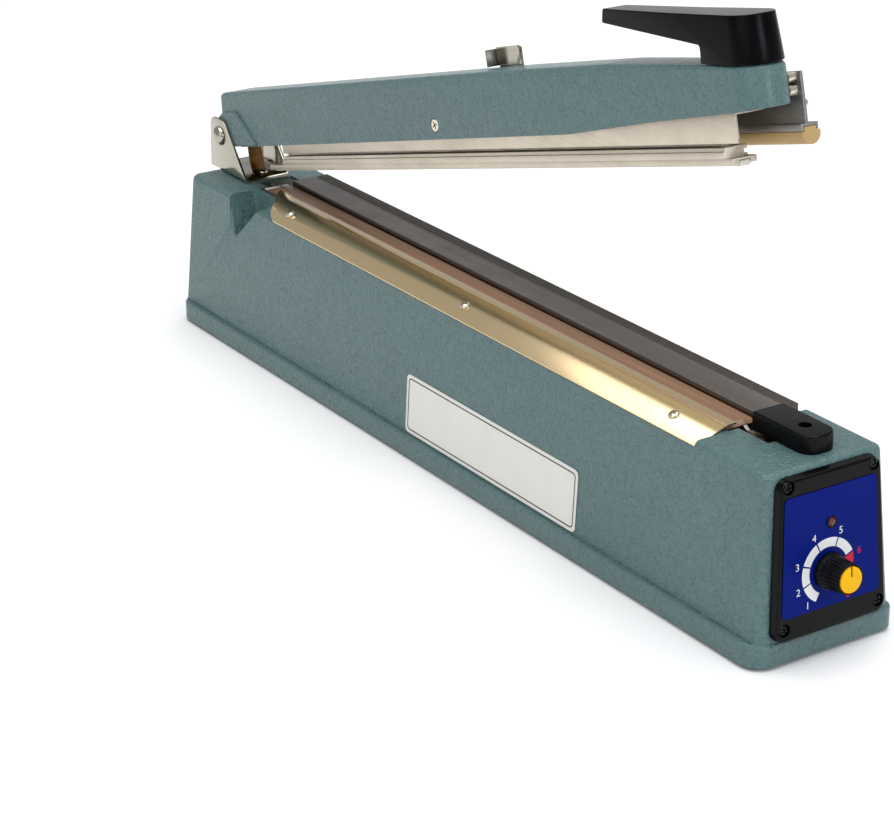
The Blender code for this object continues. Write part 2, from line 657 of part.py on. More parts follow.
def turned(name, profile, parent, location, direction, look=None, steps=SCREW_STEPS, cutter=False):
    """A turned piece: its profile runs from the top of the axis down the outer side to the bottom."""
    mesh = bpy.data.meshes.new(name)
    points = [(radius, 0.0, height) for radius, height in profile]
    lines = [(k, k + 1) for k in range(len(points) - 1)]
    if profile[0] == profile[-1]:
        points.pop()
        lines[-1] = (len(points) - 1, 0)
    mesh.from_pydata(points, lines, [])
    made = place(name, mesh, parent, location, look, cutter)
    made.rotation_mode = "QUATERNION"
    made.rotation_quaternion = Vector((0, 0, 1)).rotation_difference(Vector(direction))
    spin = made.modifiers.new("turn", "SCREW")
    spin.axis = "Z"
    spin.steps = steps
    spin.render_steps = steps
    spin.use_merge_vertices = True
    spin.merge_threshold = MERGE
    spin.use_normal_calculate = False
    return made


def cut(target, *cutters, operation="DIFFERENCE"):
    """Boolean the target with each cutter in turn."""
    for cutter in cutters:
        step = target.modifiers.new("cut", "BOOLEAN")
        step.operation = operation
        step.solver = "EXACT"
        step.object = cutter
    return target


def soften(target, width, segments=1, angle=40.0):
    """Bevel the sharp edges of a piece."""
    step = target.modifiers.new("soften", "BEVEL")
    step.width = width
    step.segments = segments
    step.limit_method = "ANGLE"
    step.angle_limit = math.radians(angle)
    return target


def smooth(target, angle=35.0):
    target.data.shade_smooth()
    target.data.set_sharp_from_angle(angle=math.radians(angle))
    return target


def pan_screw(name, parent, location, direction, look, length=SMALL_LENGTH):
    """A pan-head screw: its head's underside is at the location, its shank runs back."""
    edge = SMALL_HEAD_HEIGHT / 3
    profile = [
        (0.0, SMALL_HEAD_HEIGHT),
        (SMALL_HEAD * SMALL_CROWN_SHARE, SMALL_HEAD_HEIGHT - edge / 2),
        (SMALL_HEAD, edge),
        (SMALL_HEAD, 0.0),
        (SMALL_SHANK, 0.0),
        (SMALL_SHANK, -length),
        (0.0, -length),
    ]
    return turned(name, profile, parent, location, direction, look)


def hole_mesh(location, direction, before, after, radius=SMALL_SHANK + GAP, segments=SCREW_STEPS):
    """The cutter of a hole through a location, from behind it to in front of it."""
    place_at, way = Vector(location), Vector(direction).normalized()
    return cylinder_mesh(radius, place_at - way * before, place_at + way * after, segments=segments)


def end_half(height):
    """Half the body's length at a height."""
    share = (height - FLANGE_HEIGHT) / (BODY_HEIGHT - FLANGE_HEIGHT)
    return BASE_LENGTH / 2 - FLANGE_LEDGE / 2 - END_DRAFT * share


def side_half(height):
    """Half the body's width at a height."""
    share = (height - FLANGE_HEIGHT) / (BODY_HEIGHT - FLANGE_HEIGHT)
    return BASE_WIDTH / 2 - FLANGE_LEDGE - SIDE_DRAFT * share


def tapered_block(low, high, inset=0.0):
    """The body's drafted block between two heights, drawn in by an inset."""
    shape = bmesh.new()
    bmesh.ops.create_cube(shape, size=2.0)
    for vertex in shape.verts:
        height = low if vertex.co.z < 0 else high
        half_x = end_half(height) - inset
        half_y = side_half(height) - inset
        vertex.co = (vertex.co.x * half_x, vertex.co.y * half_y, height)
    return shape


def edges_along(shape, axis, test=None):
    """Edges that run mostly along one axis, and that pass a test on their middle point."""
    chosen = []
    for edge in shape.edges:
        way = edge.verts[1].co - edge.verts[0].co
        middle = (edge.verts[0].co + edge.verts[1].co) / 2
        if abs(way[axis]) > way.length * math.cos(math.radians(30.0)) and (test is None or test(middle)):
            chosen.append(edge)
    return chosen


def bevel_edges(shape, edges, width, segments=ROUND_STEPS):
    bmesh.ops.bevel(shape, geom=edges, offset=width, segments=segments, profile=0.5, affect="EDGES",
                    clamp_overlap=True, material=-1)


# Materials, one for each kind of surface
HAMMERED_TEAL = material("hammered_teal", (0.105, 0.175, 0.185), 0.42)
CHROME = material("chrome", (0.62, 0.60, 0.56), 0.12, 1.0)
MILLED_ALUMINIUM = material("milled_aluminium", (0.66, 0.64, 0.60), 0.38, 1.0)
BED_ALUMINIUM = material("bed_aluminium", (0.60, 0.59, 0.57), 0.42, 1.0)
SHEET_TAN = material("sheet_tan", (0.42, 0.25, 0.13), 0.40)
TAPE_WHITE = material("tape_white", (0.75, 0.73, 0.68), 0.60)
NICHROME = material("nichrome", (0.35, 0.33, 0.31), 0.35, 1.0)
BLACK_GLOSS = material("black_gloss", (0.008, 0.008, 0.009), 0.22)
BLACK_SATIN = material("black_satin", (0.012, 0.012, 0.013), 0.40)
PANEL_BLUE = material("panel_blue", (0.008, 0.018, 0.15), 0.35)
CAP_YELLOW = material("cap_yellow", (0.85, 0.47, 0.02), 0.45)
LAMP_AMBER = material("lamp_amber", (0.05, 0.018, 0.010), 0.15)
LABEL_WHITE = material("label_white", (0.78, 0.77, 0.74), 0.45)
SPRING_BRONZE = material("spring_bronze", (0.20, 0.10, 0.035), 0.35, 1.0)
SCREW_STEEL = material("screw_steel", (0.70, 0.68, 0.63), 0.22, 1.0)
DARK_STEEL = material("dark_steel", (0.16, 0.15, 0.13), 0.30, 1.0)
FOOT_RUBBER = material("foot_rubber", (0.02, 0.02, 0.02), 0.80)
SILICONE_WHITE = material("silicone_white", (0.70, 0.68, 0.62), 0.55)
SILICONE_TAN = material("silicone_tan", (0.50, 0.36, 0.17), 0.50)
BRASS = material("brass", (0.62, 0.45, 0.18), 0.30, 1.0)
CORE_STEEL = material("core_steel", (0.22, 0.21, 0.20), 0.50, 1.0)
COIL_COPPER = material("coil_copper", (0.45, 0.20, 0.08), 0.40, 1.0)
BOARD_GREEN = material("board_green", (0.02, 0.12, 0.05), 0.50)
SWITCH_BLACK = material("switch_black", (0.02, 0.02, 0.02), 0.50)
PLATE_STEEL = material("plate_steel", (0.45, 0.44, 0.42), 0.45, 1.0)

# Frames: the stand lifts the base onto its feet, the others carry the panel, label and arm
PANEL_LEAN = math.atan2(END_DRAFT, BODY_HEIGHT - FLANGE_HEIGHT)
SIDE_LEAN = math.atan2(SIDE_DRAFT, BODY_HEIGHT - FLANGE_HEIGHT)
LABEL_MID = (LABEL_LOW + LABEL_HIGH) / 2
STAND = empty("stand", (0.0, 0.0, FOOT_STAND))
PANEL = empty("panel_frame", (end_half(PANEL_MID), 0.0, PANEL_MID), (0.0, -PANEL_LEAN, 0.0), STAND)
GLAND_SEAT = (-end_half(GLAND_HEIGHT), GLAND_Y, GLAND_HEIGHT)
REAR_WALL = empty("rear_wall_frame", GLAND_SEAT, (0.0, PANEL_LEAN, 0.0), STAND)
NEAR_WALL = empty("near_wall_frame", (0.0, -side_half(LABEL_MID), LABEL_MID), (-SIDE_LEAN, 0.0, 0.0), STAND)
ARM_FRAME = empty("arm_frame", (PIVOT_X, 0.0, PIVOT_HEIGHT), (0.0, -ARM_OPEN, 0.0), STAND)
BARS_FRAME = empty("bars_frame", (PIVOT_X, 0.0, PIVOT_HEIGHT), (0.0, -BARS_OPEN, 0.0), STAND)

# Heights in the bed's stack of thin layers
BED_BAR_TOP = CHANNEL_FLOOR + GAP + BED_BAR_HEIGHT
TAPE_BASE = BED_BAR_TOP + THIN_GAP
ELEMENT_BASE = TAPE_BASE + TAPE_THICKNESS + THIN_GAP
SHEET_BASE = ELEMENT_BASE + ELEMENT_THICKNESS + THIN_GAP
SHEET_TOP = SHEET_BASE + SHEET_THICKNESS
RAIL_TOP = CHANNEL_FLOOR + GAP + RAIL_HEIGHT
BRACKET_BASE = BODY_HEIGHT + GAP
BRACKET_TOP = BRACKET_BASE + BRACKET_THICKNESS
EAR_NEAR = ARM_CENTRE_Y - LUG_WIDTH / 2 - GAP
EAR_FAR = ARM_CENTRE_Y + LUG_WIDTH / 2 + GAP
FOOT_X = BASE_LENGTH / 2 - FOOT_INSET_X
FOOT_Y = BASE_WIDTH / 2 - FOOT_INSET_Y
STRIP_SLOPE = math.atan2(STRIP_LIP_HEIGHT - STRIP_EDGE_HEIGHT, STRIP_BEND_Y - STRIP_EDGE_Y)
STRIP_NORMAL = Vector((0.0, -math.sin(STRIP_SLOPE), math.cos(STRIP_SLOPE)))
UP = Vector((0.0, 0.0, 1.0))


def strip_point(x, y):
    """The point of the strip's sloping top face at a place."""
    height = STRIP_EDGE_HEIGHT + (y - STRIP_EDGE_Y) * math.tan(STRIP_SLOPE)
    return Vector((x, y, height))


def panel_screw_places():
    return [(sign * half, height) for half, height in
            ((PANEL_SCREW_TOP_HALF, PANEL_SCREW_TOP), (PANEL_SCREW_LOW_HALF, PANEL_SCREW_LOW))
            for sign in (-1, 1)]


def foot_places():
    return [(sx * FOOT_X, sy * FOOT_Y) for sx in (-1, 1) for sy in (-1, 1)]


def build_base_casting():
    """Drafted shell on a flange, with a sunk deck, end blocks and boss columns."""
    flange = bmesh.new()
    bmesh.ops.create_cube(flange, size=1.0)
    bmesh.ops.scale(flange, vec=(BASE_LENGTH, BASE_WIDTH, FLANGE_HEIGHT), verts=flange.verts)
    bmesh.ops.translate(flange, vec=(0.0, 0.0, FLANGE_HEIGHT / 2), verts=flange.verts)
    bevel_edges(flange, edges_along(flange, 2), FLANGE_CORNER)
    casting = place("base_casting", finished_mesh(flange), STAND, look=HAMMERED_TEAL)

    body = tapered_block(FLANGE_HEIGHT / 2, BODY_HEIGHT)
    bevel_edges(body, edges_along(body, 2), BODY_CORNER)
    bevel_edges(body, [edge for edge in body.edges if all(v.co.z > BODY_HEIGHT - MERGE for v in edge.verts)],
                TOP_EDGE)
    body_piece = place("cut_body", finished_mesh(body), STAND, cutter=True)
    cut(casting, body_piece, operation="UNION")

    deck_cut = place("cut_deck", prism_mesh("YZ", deck_outline(), DECK_REAR, DECK_FRONT), STAND, cutter=True)
    pockets = joined_mesh([
        box_mesh((REAR_POCKET_END, POCKET_NEAR, CHANNEL_FLOOR),
                 (DECK_REAR + OVERRUN, REAR_POCKET_FAR, BODY_HEIGHT + OVERRUN)),
        box_mesh((DECK_FRONT - OVERRUN, POCKET_NEAR, CHANNEL_FLOOR),
                 (FRONT_POCKET_END, FRONT_POCKET_FAR, BODY_HEIGHT + OVERRUN)),
    ])
    pocket_cut = place("cut_pockets", pockets, STAND, cutter=True)
    cavity = tapered_block(-OVERRUN, CHANNEL_FLOOR - ROOF, WALL)
    cavity_cut = place("cut_cavity", finished_mesh(cavity), STAND, cutter=True)
    hollows = joined_mesh([
        box_mesh((-end_half(BODY_HEIGHT) + 2 * WALL, -HOLLOW_HALF, CHANNEL_FLOOR - ROOF - OVERRUN),
                 (REAR_HOLLOW_FRONT, HOLLOW_HALF, BLOCK_ROOF)),
        box_mesh((FRONT_HOLLOW_REAR, -HOLLOW_HALF, CHANNEL_FLOOR - ROOF - OVERRUN),
                 (end_half(BODY_HEIGHT) - 2 * WALL, HOLLOW_HALF, BLOCK_ROOF)),
    ])
    hollow_cut = place("cut_hollows", hollows, STAND, cutter=True)
    cut(casting, cavity_cut, hollow_cut)
    rib_front = DECK_REAR + NOTCH_FOOT + (CHANNEL_FLOOR - CREASE_HEIGHT) * NOTCH_SPREAD_SHARE + WALL
    rib = box_mesh((DECK_REAR - WALL, NOTCH_RIB_NEAR, CREASE_HEIGHT - WALL),
                   (rib_front, NOTCH_FAR + WALL, CHANNEL_FLOOR - ROOF / 2))
    cut(casting, place("cut_rib", rib, STAND, cutter=True), operation="UNION")
    notch = prism_mesh("XZ", notch_outline(), -side_half(CREASE_HEIGHT) - OVERRUN, NOTCH_FAR)
    cut(casting, deck_cut, place("cut_notch", notch, STAND, cutter=True), pocket_cut)

    for number, (x, y) in enumerate(foot_places(), 1):
        column = cylinder_mesh(BOSS_RADIUS, (x, y, COVER_RAISE + COVER_THICKNESS + GAP),
                               (x, y, CHANNEL_FLOOR - ROOF / 2), segments=SCREW_STEPS)
        cut(casting, place(f"cut_boss_{number}", column, STAND, cutter=True), operation="UNION")
    cut(casting, place("cut_base_holes", base_holes(), STAND, cutter=True))
    window = box_mesh((-WALL - OVERRUN, -PANEL_WINDOW_HALF, PANEL_WINDOW_LOW),
                      (OVERRUN, PANEL_WINDOW_HALF, PANEL_WINDOW_HIGH))
    cut(casting, place("cut_window", window, PANEL, cutter=True))
    inward, depth = (1, 0, 0), WALL + OVERRUN
    gland_hole = hole_mesh((0.0, 0.0, 0.0), inward, OVERRUN, depth, GLAND_RADIUS + GAP, ROUND_SEGMENTS)
    cut(casting, place("cut_gland_hole", gland_hole, REAR_WALL, cutter=True))
    depth = SMALL_LENGTH + GAP
    panel_holes = [hole_mesh((0.0, y, t), inward, depth, OVERRUN) for y, t in panel_screw_places()]
    cut(casting, place("cut_panel_holes", joined_mesh(panel_holes), PANEL, cutter=True))
    return casting


def deck_outline():
    """Everything above the deck, across the base: the two shoulders and the channel."""
    outside = side_half(CREASE_HEIGHT) + OVERRUN * 2
    above = BODY_HEIGHT + OVERRUN
    return [
        (-outside, CREASE_HEIGHT),
        (-side_half(CREASE_HEIGHT), CREASE_HEIGHT),
        (-SHOULDER_HALF, SHOULDER_HEIGHT),
        (SLOPE_TOP_Y, SLOPE_TOP_HEIGHT),
        (CHANNEL_NEAR, SLOPE_TOP_HEIGHT),
        (CHANNEL_NEAR, CHANNEL_FLOOR),
        (CHANNEL_FAR, CHANNEL_FLOOR),
        (CHANNEL_FAR, SHOULDER_HEIGHT),
        (SHOULDER_HALF, SHOULDER_HEIGHT),
        (side_half(CREASE_HEIGHT), CREASE_HEIGHT),
        (outside, CREASE_HEIGHT),
        (outside, above),
        (-outside, above),
    ]


def notch_outline():
    """The hollow in front of the rear block, seen from the near side."""
    foot = DECK_REAR + NOTCH_FOOT
    above = BODY_HEIGHT + OVERRUN
    return [
        (foot, CREASE_HEIGHT),
        (foot + (above - CREASE_HEIGHT) * NOTCH_SPREAD_SHARE, above),
        (DECK_REAR, above),
        (DECK_REAR, SHOULDER_HEIGHT),
    ]


def base_holes():
    """Screw, plunger and foot holes of the base, as one cutter."""
    down = SMALL_LENGTH + GAP
    spots = [strip_point(x, STRIP_SCREW_Y) for x in STRIP_SCREWS_X]
    holes = [hole_mesh(spot, STRIP_NORMAL, down + GAP, OVERRUN) for spot in spots]
    for sign in (-1, 1):
        spot = (BRACKET_SCREW_X, ARM_CENTRE_Y + sign * BRACKET_SCREW_SPACING / 2, BRACKET_TOP)
        holes.append(hole_mesh(spot, UP, down + GAP, OVERRUN))
    holes.append(hole_mesh((LEAF_SCREW_X, ARM_CENTRE_Y, BRACKET_TOP), UP, down + GAP, OVERRUN))
    cover_y = TERMINAL_COVER_NEAR + TERMINAL_COVER_WIDTH / 2
    holes.append(hole_mesh((TERMINAL_COVER_SCREW_X, cover_y, BODY_HEIGHT), UP, down, OVERRUN))
    plunger = (PLUNGER_X, PLUNGER_Y, BLOCK_ROOF)
    holes.append(hole_mesh(plunger, UP, OVERRUN, WALL + OVERRUN, PLUNGER_RADIUS + GAP))
    for x, y in foot_places():
        holes.append(hole_mesh((x, y, 0.0), UP, OVERRUN, FOOT_STEM_LENGTH + OVERRUN, FOOT_STEM_RADIUS + GAP))
    return joined_mesh(holes)


def build_bottom():
    """Bottom cover plate and its four push-in feet."""
    fit = WALL + GAP
    half_x = end_half(0.0) - fit
    half_y = side_half(0.0) - fit
    outline = rounded(rectangle(-half_x, half_x, -half_y, half_y), BODY_CORNER)
    sheet = prism_mesh("XY", outline, COVER_RAISE, COVER_RAISE + COVER_THICKNESS)
    plate = place("bottom_cover", sheet, STAND, look=PLATE_STEEL)
    holes = [hole_mesh((x, y, 0.0), UP, OVERRUN, OVERRUN, FOOT_STEM_RADIUS + GAP) for x, y in foot_places()]
    cut(plate, place("cut_cover_holes", joined_mesh(holes), STAND, cutter=True))
    names = ("foot_rear_near", "foot_rear_far", "foot_front_near", "foot_front_far")
    profile = [
        (0.0, FOOT_STEM_LENGTH),
        (FOOT_STEM_RADIUS, FOOT_STEM_LENGTH),
        (FOOT_STEM_RADIUS, COVER_RAISE - GAP),
        (FOOT_RADIUS, COVER_RAISE - GAP),
        (FOOT_RADIUS, -FOOT_STAND + FOOT_BEVEL),
        (FOOT_RADIUS - FOOT_BEVEL, -FOOT_STAND),
        (0.0, -FOOT_STAND),
    ]
    for name, (x, y) in zip(names, foot_places()):
        smooth(turned(name, profile, STAND, (x, y, 0.0), UP, FOOT_RUBBER, ROUND_SEGMENTS))


def build_bed():
    """Bed bar, insulating tape, heating element and the sheet that covers them."""
    near = CHANNEL_NEAR + GAP
    base = CHANNEL_FLOOR + GAP
    place("sealing_bed_bar", box_mesh((BED_BAR_REAR, near, base), (BED_BAR_FRONT, BED_BAR_FAR, BED_BAR_TOP)),
          STAND, look=BED_ALUMINIUM)
    place("insulation_tape",
          box_mesh((BED_BAR_REAR + TAPE_INSET, near + TAPE_INSET, TAPE_BASE),
                   (BED_BAR_FRONT - TAPE_INSET, BED_BAR_FAR - TAPE_INSET, TAPE_BASE + TAPE_THICKNESS)),
          STAND, look=TAPE_WHITE)
    front_low = CHANNEL_FLOOR + GAP + FRONT_TERMINAL_HEIGHT + THIN_GAP
    rear_low = CHANNEL_FLOOR + GAP + REAR_TERMINAL_HEIGHT + THIN_GAP
    front_drop = BED_BAR_FRONT + GAP
    rear_drop = BED_BAR_REAR - GAP
    front_flat = front_drop + ELEMENT_DROP_RUN
    rear_flat = rear_drop - ELEMENT_DROP_RUN / 2
    ribbon = [
        (rear_flat - ELEMENT_TAIL / 2, rear_low),
        (rear_flat, rear_low),
        (rear_drop, ELEMENT_BASE),
        (front_drop, ELEMENT_BASE),
        (front_flat, front_low),
        (front_flat + ELEMENT_TAIL, front_low),
    ]
    ribbon += [(x, z + ELEMENT_THICKNESS) for x, z in reversed(ribbon)]
    half = ELEMENT_WIDTH / 2
    band = prism_mesh("XZ", ribbon, ELEMENT_Y - half, ELEMENT_Y + half)
    place("heating_element", band, STAND, look=NICHROME)
    fold = front_drop + THIN_GAP
    folded = (fold + SHEET_FOLD_RUN, SHEET_BASE - SHEET_FOLD_DROP)
    sheet = [(SHEET_REAR, SHEET_BASE), (fold, SHEET_BASE), folded]
    sheet += [(x, z + SHEET_THICKNESS) for x, z in reversed(sheet)]
    place("ptfe_sheet", prism_mesh("XZ", sheet, near + THIN_GAP, BED_BAR_FAR), STAND, look=SHEET_TAN)


def build_cover_strip():
    """Chrome strip: a slope with a flat lip that holds the sheet down, and its three screws."""
    top = [(STRIP_EDGE_Y, STRIP_EDGE_HEIGHT),
           (STRIP_BEND_Y, STRIP_LIP_HEIGHT),
           (STRIP_LIP_Y, STRIP_LIP_HEIGHT)]
    shift = STRIP_THICKNESS / math.cos(STRIP_SLOPE)
    under = [(STRIP_EDGE_Y, STRIP_EDGE_HEIGHT - shift),
             (STRIP_BEND_Y, STRIP_LIP_HEIGHT - STRIP_THICKNESS),
             (STRIP_LIP_Y, STRIP_LIP_HEIGHT - STRIP_THICKNESS)]
    length = prism_mesh("YZ", top + under[::-1], STRIP_REAR, STRIP_FRONT)
    strip = place("cover_strip", length, STAND, look=CHROME)
    near, far = STRIP_EDGE_Y - GAP, STRIP_LIP_Y + OVERRUN
    corners = [(STRIP_REAR - GAP, far), (STRIP_REAR - GAP, STRIP_LIP_Y), (STRIP_CORNER_X, near),
               (STRIP_FRONT + OVERRUN, near), (STRIP_FRONT + OVERRUN, far)]
    plan = rounded(corners, [0.0, 0.0, STRIP_CORNER_ROUND, 0.0, 0.0])
    plan_piece = prism_mesh("XY", plan, STRIP_EDGE_HEIGHT - OVERRUN, STRIP_LIP_HEIGHT + OVERRUN)
    cut(strip, place("cut_strip_plan", plan_piece, STAND, cutter=True), operation="INTERSECT")
    spots = [strip_point(x, STRIP_SCREW_Y) for x in STRIP_SCREWS_X]
    holes = [hole_mesh(spot, STRIP_NORMAL, OVERRUN, OVERRUN) for spot in spots]
    cut(strip, place("cut_strip_holes", joined_mesh(holes), STAND, cutter=True))
    for name, spot in zip(("rear", "middle", "front"), spots):
        seat = spot + STRIP_NORMAL * GAP
        smooth(pan_screw(f"cover_strip_screw_{name}", STAND, seat, STRIP_NORMAL, SCREW_STEEL))


def build_bed_rail():
    """Ribbed aluminium rail behind the sealing bed."""
    base = CHANNEL_FLOOR + GAP
    flat = RAIL_TOP - RAIL_FLAT_DROP
    outline = [(RAIL_NEAR, base), (RAIL_FAR, base), (RAIL_FAR, RAIL_TOP)]
    edge = RAIL_FAR - RAIL_LIP
    for _ in range(RAIL_RIBS):
        outline += [(edge, RAIL_TOP), (edge, RAIL_TOP - RAIL_RIB_DEPTH),
                    (edge - RAIL_RIB, RAIL_TOP - RAIL_RIB_DEPTH), (edge - RAIL_RIB, RAIL_TOP)]
        edge -= RAIL_RIB * 2
    inner = RAIL_NEAR + RAIL_LIP
    outline += [(edge, RAIL_TOP), (edge, flat), (inner, flat), (inner, RAIL_TOP), (RAIL_NEAR, RAIL_TOP)]
    length = prism_mesh("YZ", outline, DECK_REAR + RAIL_REAR_GAP, STRIP_FRONT)
    place("bed_rail", length, STAND, look=BED_ALUMINIUM)


def build_terminals():
    """Front and rear terminals of the heating element, and the black cover over the front one."""
    base = CHANNEL_FLOOR + GAP
    margin = TERMINAL_MARGIN
    front = box_mesh((BED_BAR_FRONT + GAP + ELEMENT_DROP_RUN, POCKET_NEAR + margin, base),
                     (FRONT_POCKET_END - margin, FRONT_POCKET_FAR - margin, base + FRONT_TERMINAL_HEIGHT))
    place("front_terminal", front, STAND, look=BRASS)
    rear = box_mesh((REAR_POCKET_END + margin, POCKET_NEAR + margin, base),
                    (BED_BAR_REAR - margin, REAR_POCKET_FAR - margin, base + REAR_TERMINAL_HEIGHT))
    place("rear_terminal", rear, STAND, look=BLACK_SATIN)

    low_y = TERMINAL_COVER_NEAR
    high_y = low_y + TERMINAL_COVER_WIDTH
    front_x = TERMINAL_COVER_REAR + TERMINAL_COVER_LENGTH
    radii = [TERMINAL_COVER_EDGE, TERMINAL_COVER_CORNER, TERMINAL_COVER_CORNER, TERMINAL_COVER_EDGE]
    outline = rounded(rectangle(TERMINAL_COVER_REAR, front_x, low_y, high_y), radii)
    shell = prism_mesh("XY", outline, BODY_HEIGHT + GAP, TERMINAL_COVER_TOP)
    cover = place("terminal_cover", shell, STAND, look=BLACK_GLOSS)
    wall = TERMINAL_COVER_WALL
    inner = TERMINAL_COVER_REAR + wall
    hollow = box_mesh((inner, low_y + wall, BODY_HEIGHT - OVERRUN),
                      (inner + TERMINAL_COVER_HOLLOW, high_y - wall, TERMINAL_COVER_TOP - wall))
    spot = Vector((TERMINAL_COVER_SCREW_X, (low_y + high_y) / 2, TERMINAL_COVER_TOP - COUNTERBORE_DEPTH))
    bore = hole_mesh(spot, UP, TERMINAL_COVER_TOP, OVERRUN)
    counterbore = hole_mesh(spot, UP, 0.0, OVERRUN, SMALL_HEAD + GAP)
    for name, mesh in (("hollow", hollow), ("bore", bore), ("counterbore", counterbore)):
        cut(cover, place(f"cut_cover_{name}", mesh, STAND, cutter=True))
    length = spot.z - BODY_HEIGHT + SMALL_LENGTH - GAP
    smooth(pan_screw("terminal_cover_screw", STAND, spot + UP * GAP, UP, SCREW_STEEL, length))


def build_hinge():
    """Bent bracket with two ears, the pivot pin and the two bracket screws."""
    rise = PIVOT_HEIGHT - BRACKET_BASE
    ear = rounded([
        (-BRACKET_REAR, -rise),
        (BRACKET_FRONT, -rise),
        (BRACKET_TOP_FRONT, BRACKET_TOP_RISE),
        (-BRACKET_TOP_REAR, BRACKET_TOP_RISE),
    ], [0.0, 0.0, BRACKET_TOP_ROUND, BRACKET_TOP_ROUND])
    ear = [(PIVOT_X + x, PIVOT_HEIGHT + z) for x, z in ear]
    near, far = EAR_NEAR - BRACKET_THICKNESS, EAR_FAR + BRACKET_THICKNESS
    bracket = place("hinge_bracket", prism_mesh("XZ", ear, near, far), STAND, look=CHROME)
    ear_top = PIVOT_HEIGHT + BRACKET_TOP_RISE
    gap_box = box_mesh((PIVOT_X - BRACKET_REAR - OVERRUN, EAR_NEAR, BRACKET_TOP),
                       (PIVOT_X + BRACKET_FRONT + OVERRUN, EAR_FAR, ear_top + OVERRUN))
    bore = cylinder_mesh(PIN_RADIUS + GAP, (PIVOT_X, near - OVERRUN, PIVOT_HEIGHT),
                         (PIVOT_X, far + OVERRUN, PIVOT_HEIGHT))
    spots = [Vector((BRACKET_SCREW_X, ARM_CENTRE_Y + sign * BRACKET_SCREW_SPACING / 2, BRACKET_TOP))
             for sign in (-1, 1)]
    holes = [hole_mesh(spot, UP, OVERRUN, OVERRUN) for spot in spots]
    holes.append(hole_mesh((LEAF_SCREW_X, ARM_CENTRE_Y, BRACKET_TOP), UP, OVERRUN, OVERRUN))
    holes.append(hole_mesh((PLUNGER_X, PLUNGER_Y, BRACKET_TOP), UP, OVERRUN, OVERRUN, PLUNGER_RADIUS + GAP))
    for name, mesh in (("ears", gap_box), ("bore", bore), ("holes", joined_mesh(holes))):
        cut(bracket, place(f"cut_bracket_{name}", mesh, STAND, cutter=True))

    dome = arc((0.0, 0.0), 1.0, 90.0, 0.0, ROUND_STEPS)
    profile = [(PIN_HEAD_RADIUS * a, GAP + PIN_HEAD_HEIGHT * b) for a, b in dome]
    profile[0] = (0.0, profile[0][1])
    reach = far - near + GAP
    profile += [
        (PIN_RADIUS, GAP),
        (PIN_RADIUS, -reach),
        (PIN_TAIL_RADIUS, -reach),
        (PIN_TAIL_RADIUS, -reach - PIN_TAIL_HEIGHT),
        (0.0, -reach - PIN_TAIL_HEIGHT),
    ]
    seat = (PIVOT_X, near, PIVOT_HEIGHT)
    pin = turned("hinge_pin", profile, STAND, seat, (0, -1, 0), CHROME, ROUND_SEGMENTS)
    smooth(pin)
    for name, spot in zip(("near", "far"), spots):
        smooth(pan_screw(f"hinge_bracket_screw_{name}", STAND, spot + UP * GAP, UP, SCREW_STEEL,
                         BRACKET_TOP - BLOCK_ROOF))


def leaf_line():
    """The return spring's line seen from the side: foot, bend and a long curve up to its tip."""
    base = BRACKET_TOP + GAP
    foot_end = LEAF_FOOT_FRONT - LEAF_FOOT_LENGTH
    line = [(LEAF_FOOT_FRONT, base)]
    line += arc((foot_end, base + LEAF_BEND), LEAF_BEND, LEAF_BEND_START, LEAF_BEND_END, ROUND_STEPS)
    start = Vector(line[-1])
    middle = Vector((LEAF_LEAN_X, LEAF_LEAN_HEIGHT))
    tip = Vector((LEAF_TIP_X, LEAF_TIP_HEIGHT))
    control = middle * 2 - (start + tip) / 2
    for k in range(1, LEAF_STEPS + 1):
        t = k / LEAF_STEPS
        point = start * (1 - t) ** 2 + control * (2 * t * (1 - t)) + tip * t ** 2
        line.append(tuple(point))
    return line


def build_return_spring():
    """Leaf spring with its foot on the bracket, and its screw."""
    line = [Vector(point) for point in leaf_line()]
    offset = []
    for k, point in enumerate(line):
        way = (line[min(k + 1, len(line) - 1)] - line[max(k - 1, 0)]).normalized()
        offset.append(point + Vector((way.y, -way.x)) * LEAF_THICKNESS)
    outline = [tuple(point) for point in line] + [tuple(point) for point in reversed(offset)]
    half = LEAF_WIDTH / 2
    leaf = place("return_spring", prism_mesh("XZ", outline, ARM_CENTRE_Y - half, ARM_CENTRE_Y + half), STAND,
                 look=SPRING_BRONZE)
    spot = Vector((LEAF_SCREW_X, ARM_CENTRE_Y, BRACKET_TOP + GAP + LEAF_THICKNESS))
    cut(leaf, place("cut_leaf_hole", hole_mesh(spot, UP, OVERRUN, LEAF_BEND), STAND, cutter=True))
    smooth(pan_screw("return_spring_screw", STAND, spot + UP * GAP, UP, SCREW_STEEL))


def arm_half_width(along):
    """Half the arm's width at a distance from the pivot: it widens towards the nose."""
    return (ARM_REAR_WIDTH + (LUG_WIDTH - ARM_REAR_WIDTH) * along / ARM_NOSE_CENTRE) / 2


def widen(mesh, half_width):
    """Set each vertex's distance from the arm's middle plane from its place along and above."""
    for vertex in mesh.vertices:
        side = 1 if vertex.co.y > ARM_CENTRE_Y else -1
        vertex.co.y = ARM_CENTRE_Y + side * half_width(vertex.co.x, vertex.co.z)
    return mesh


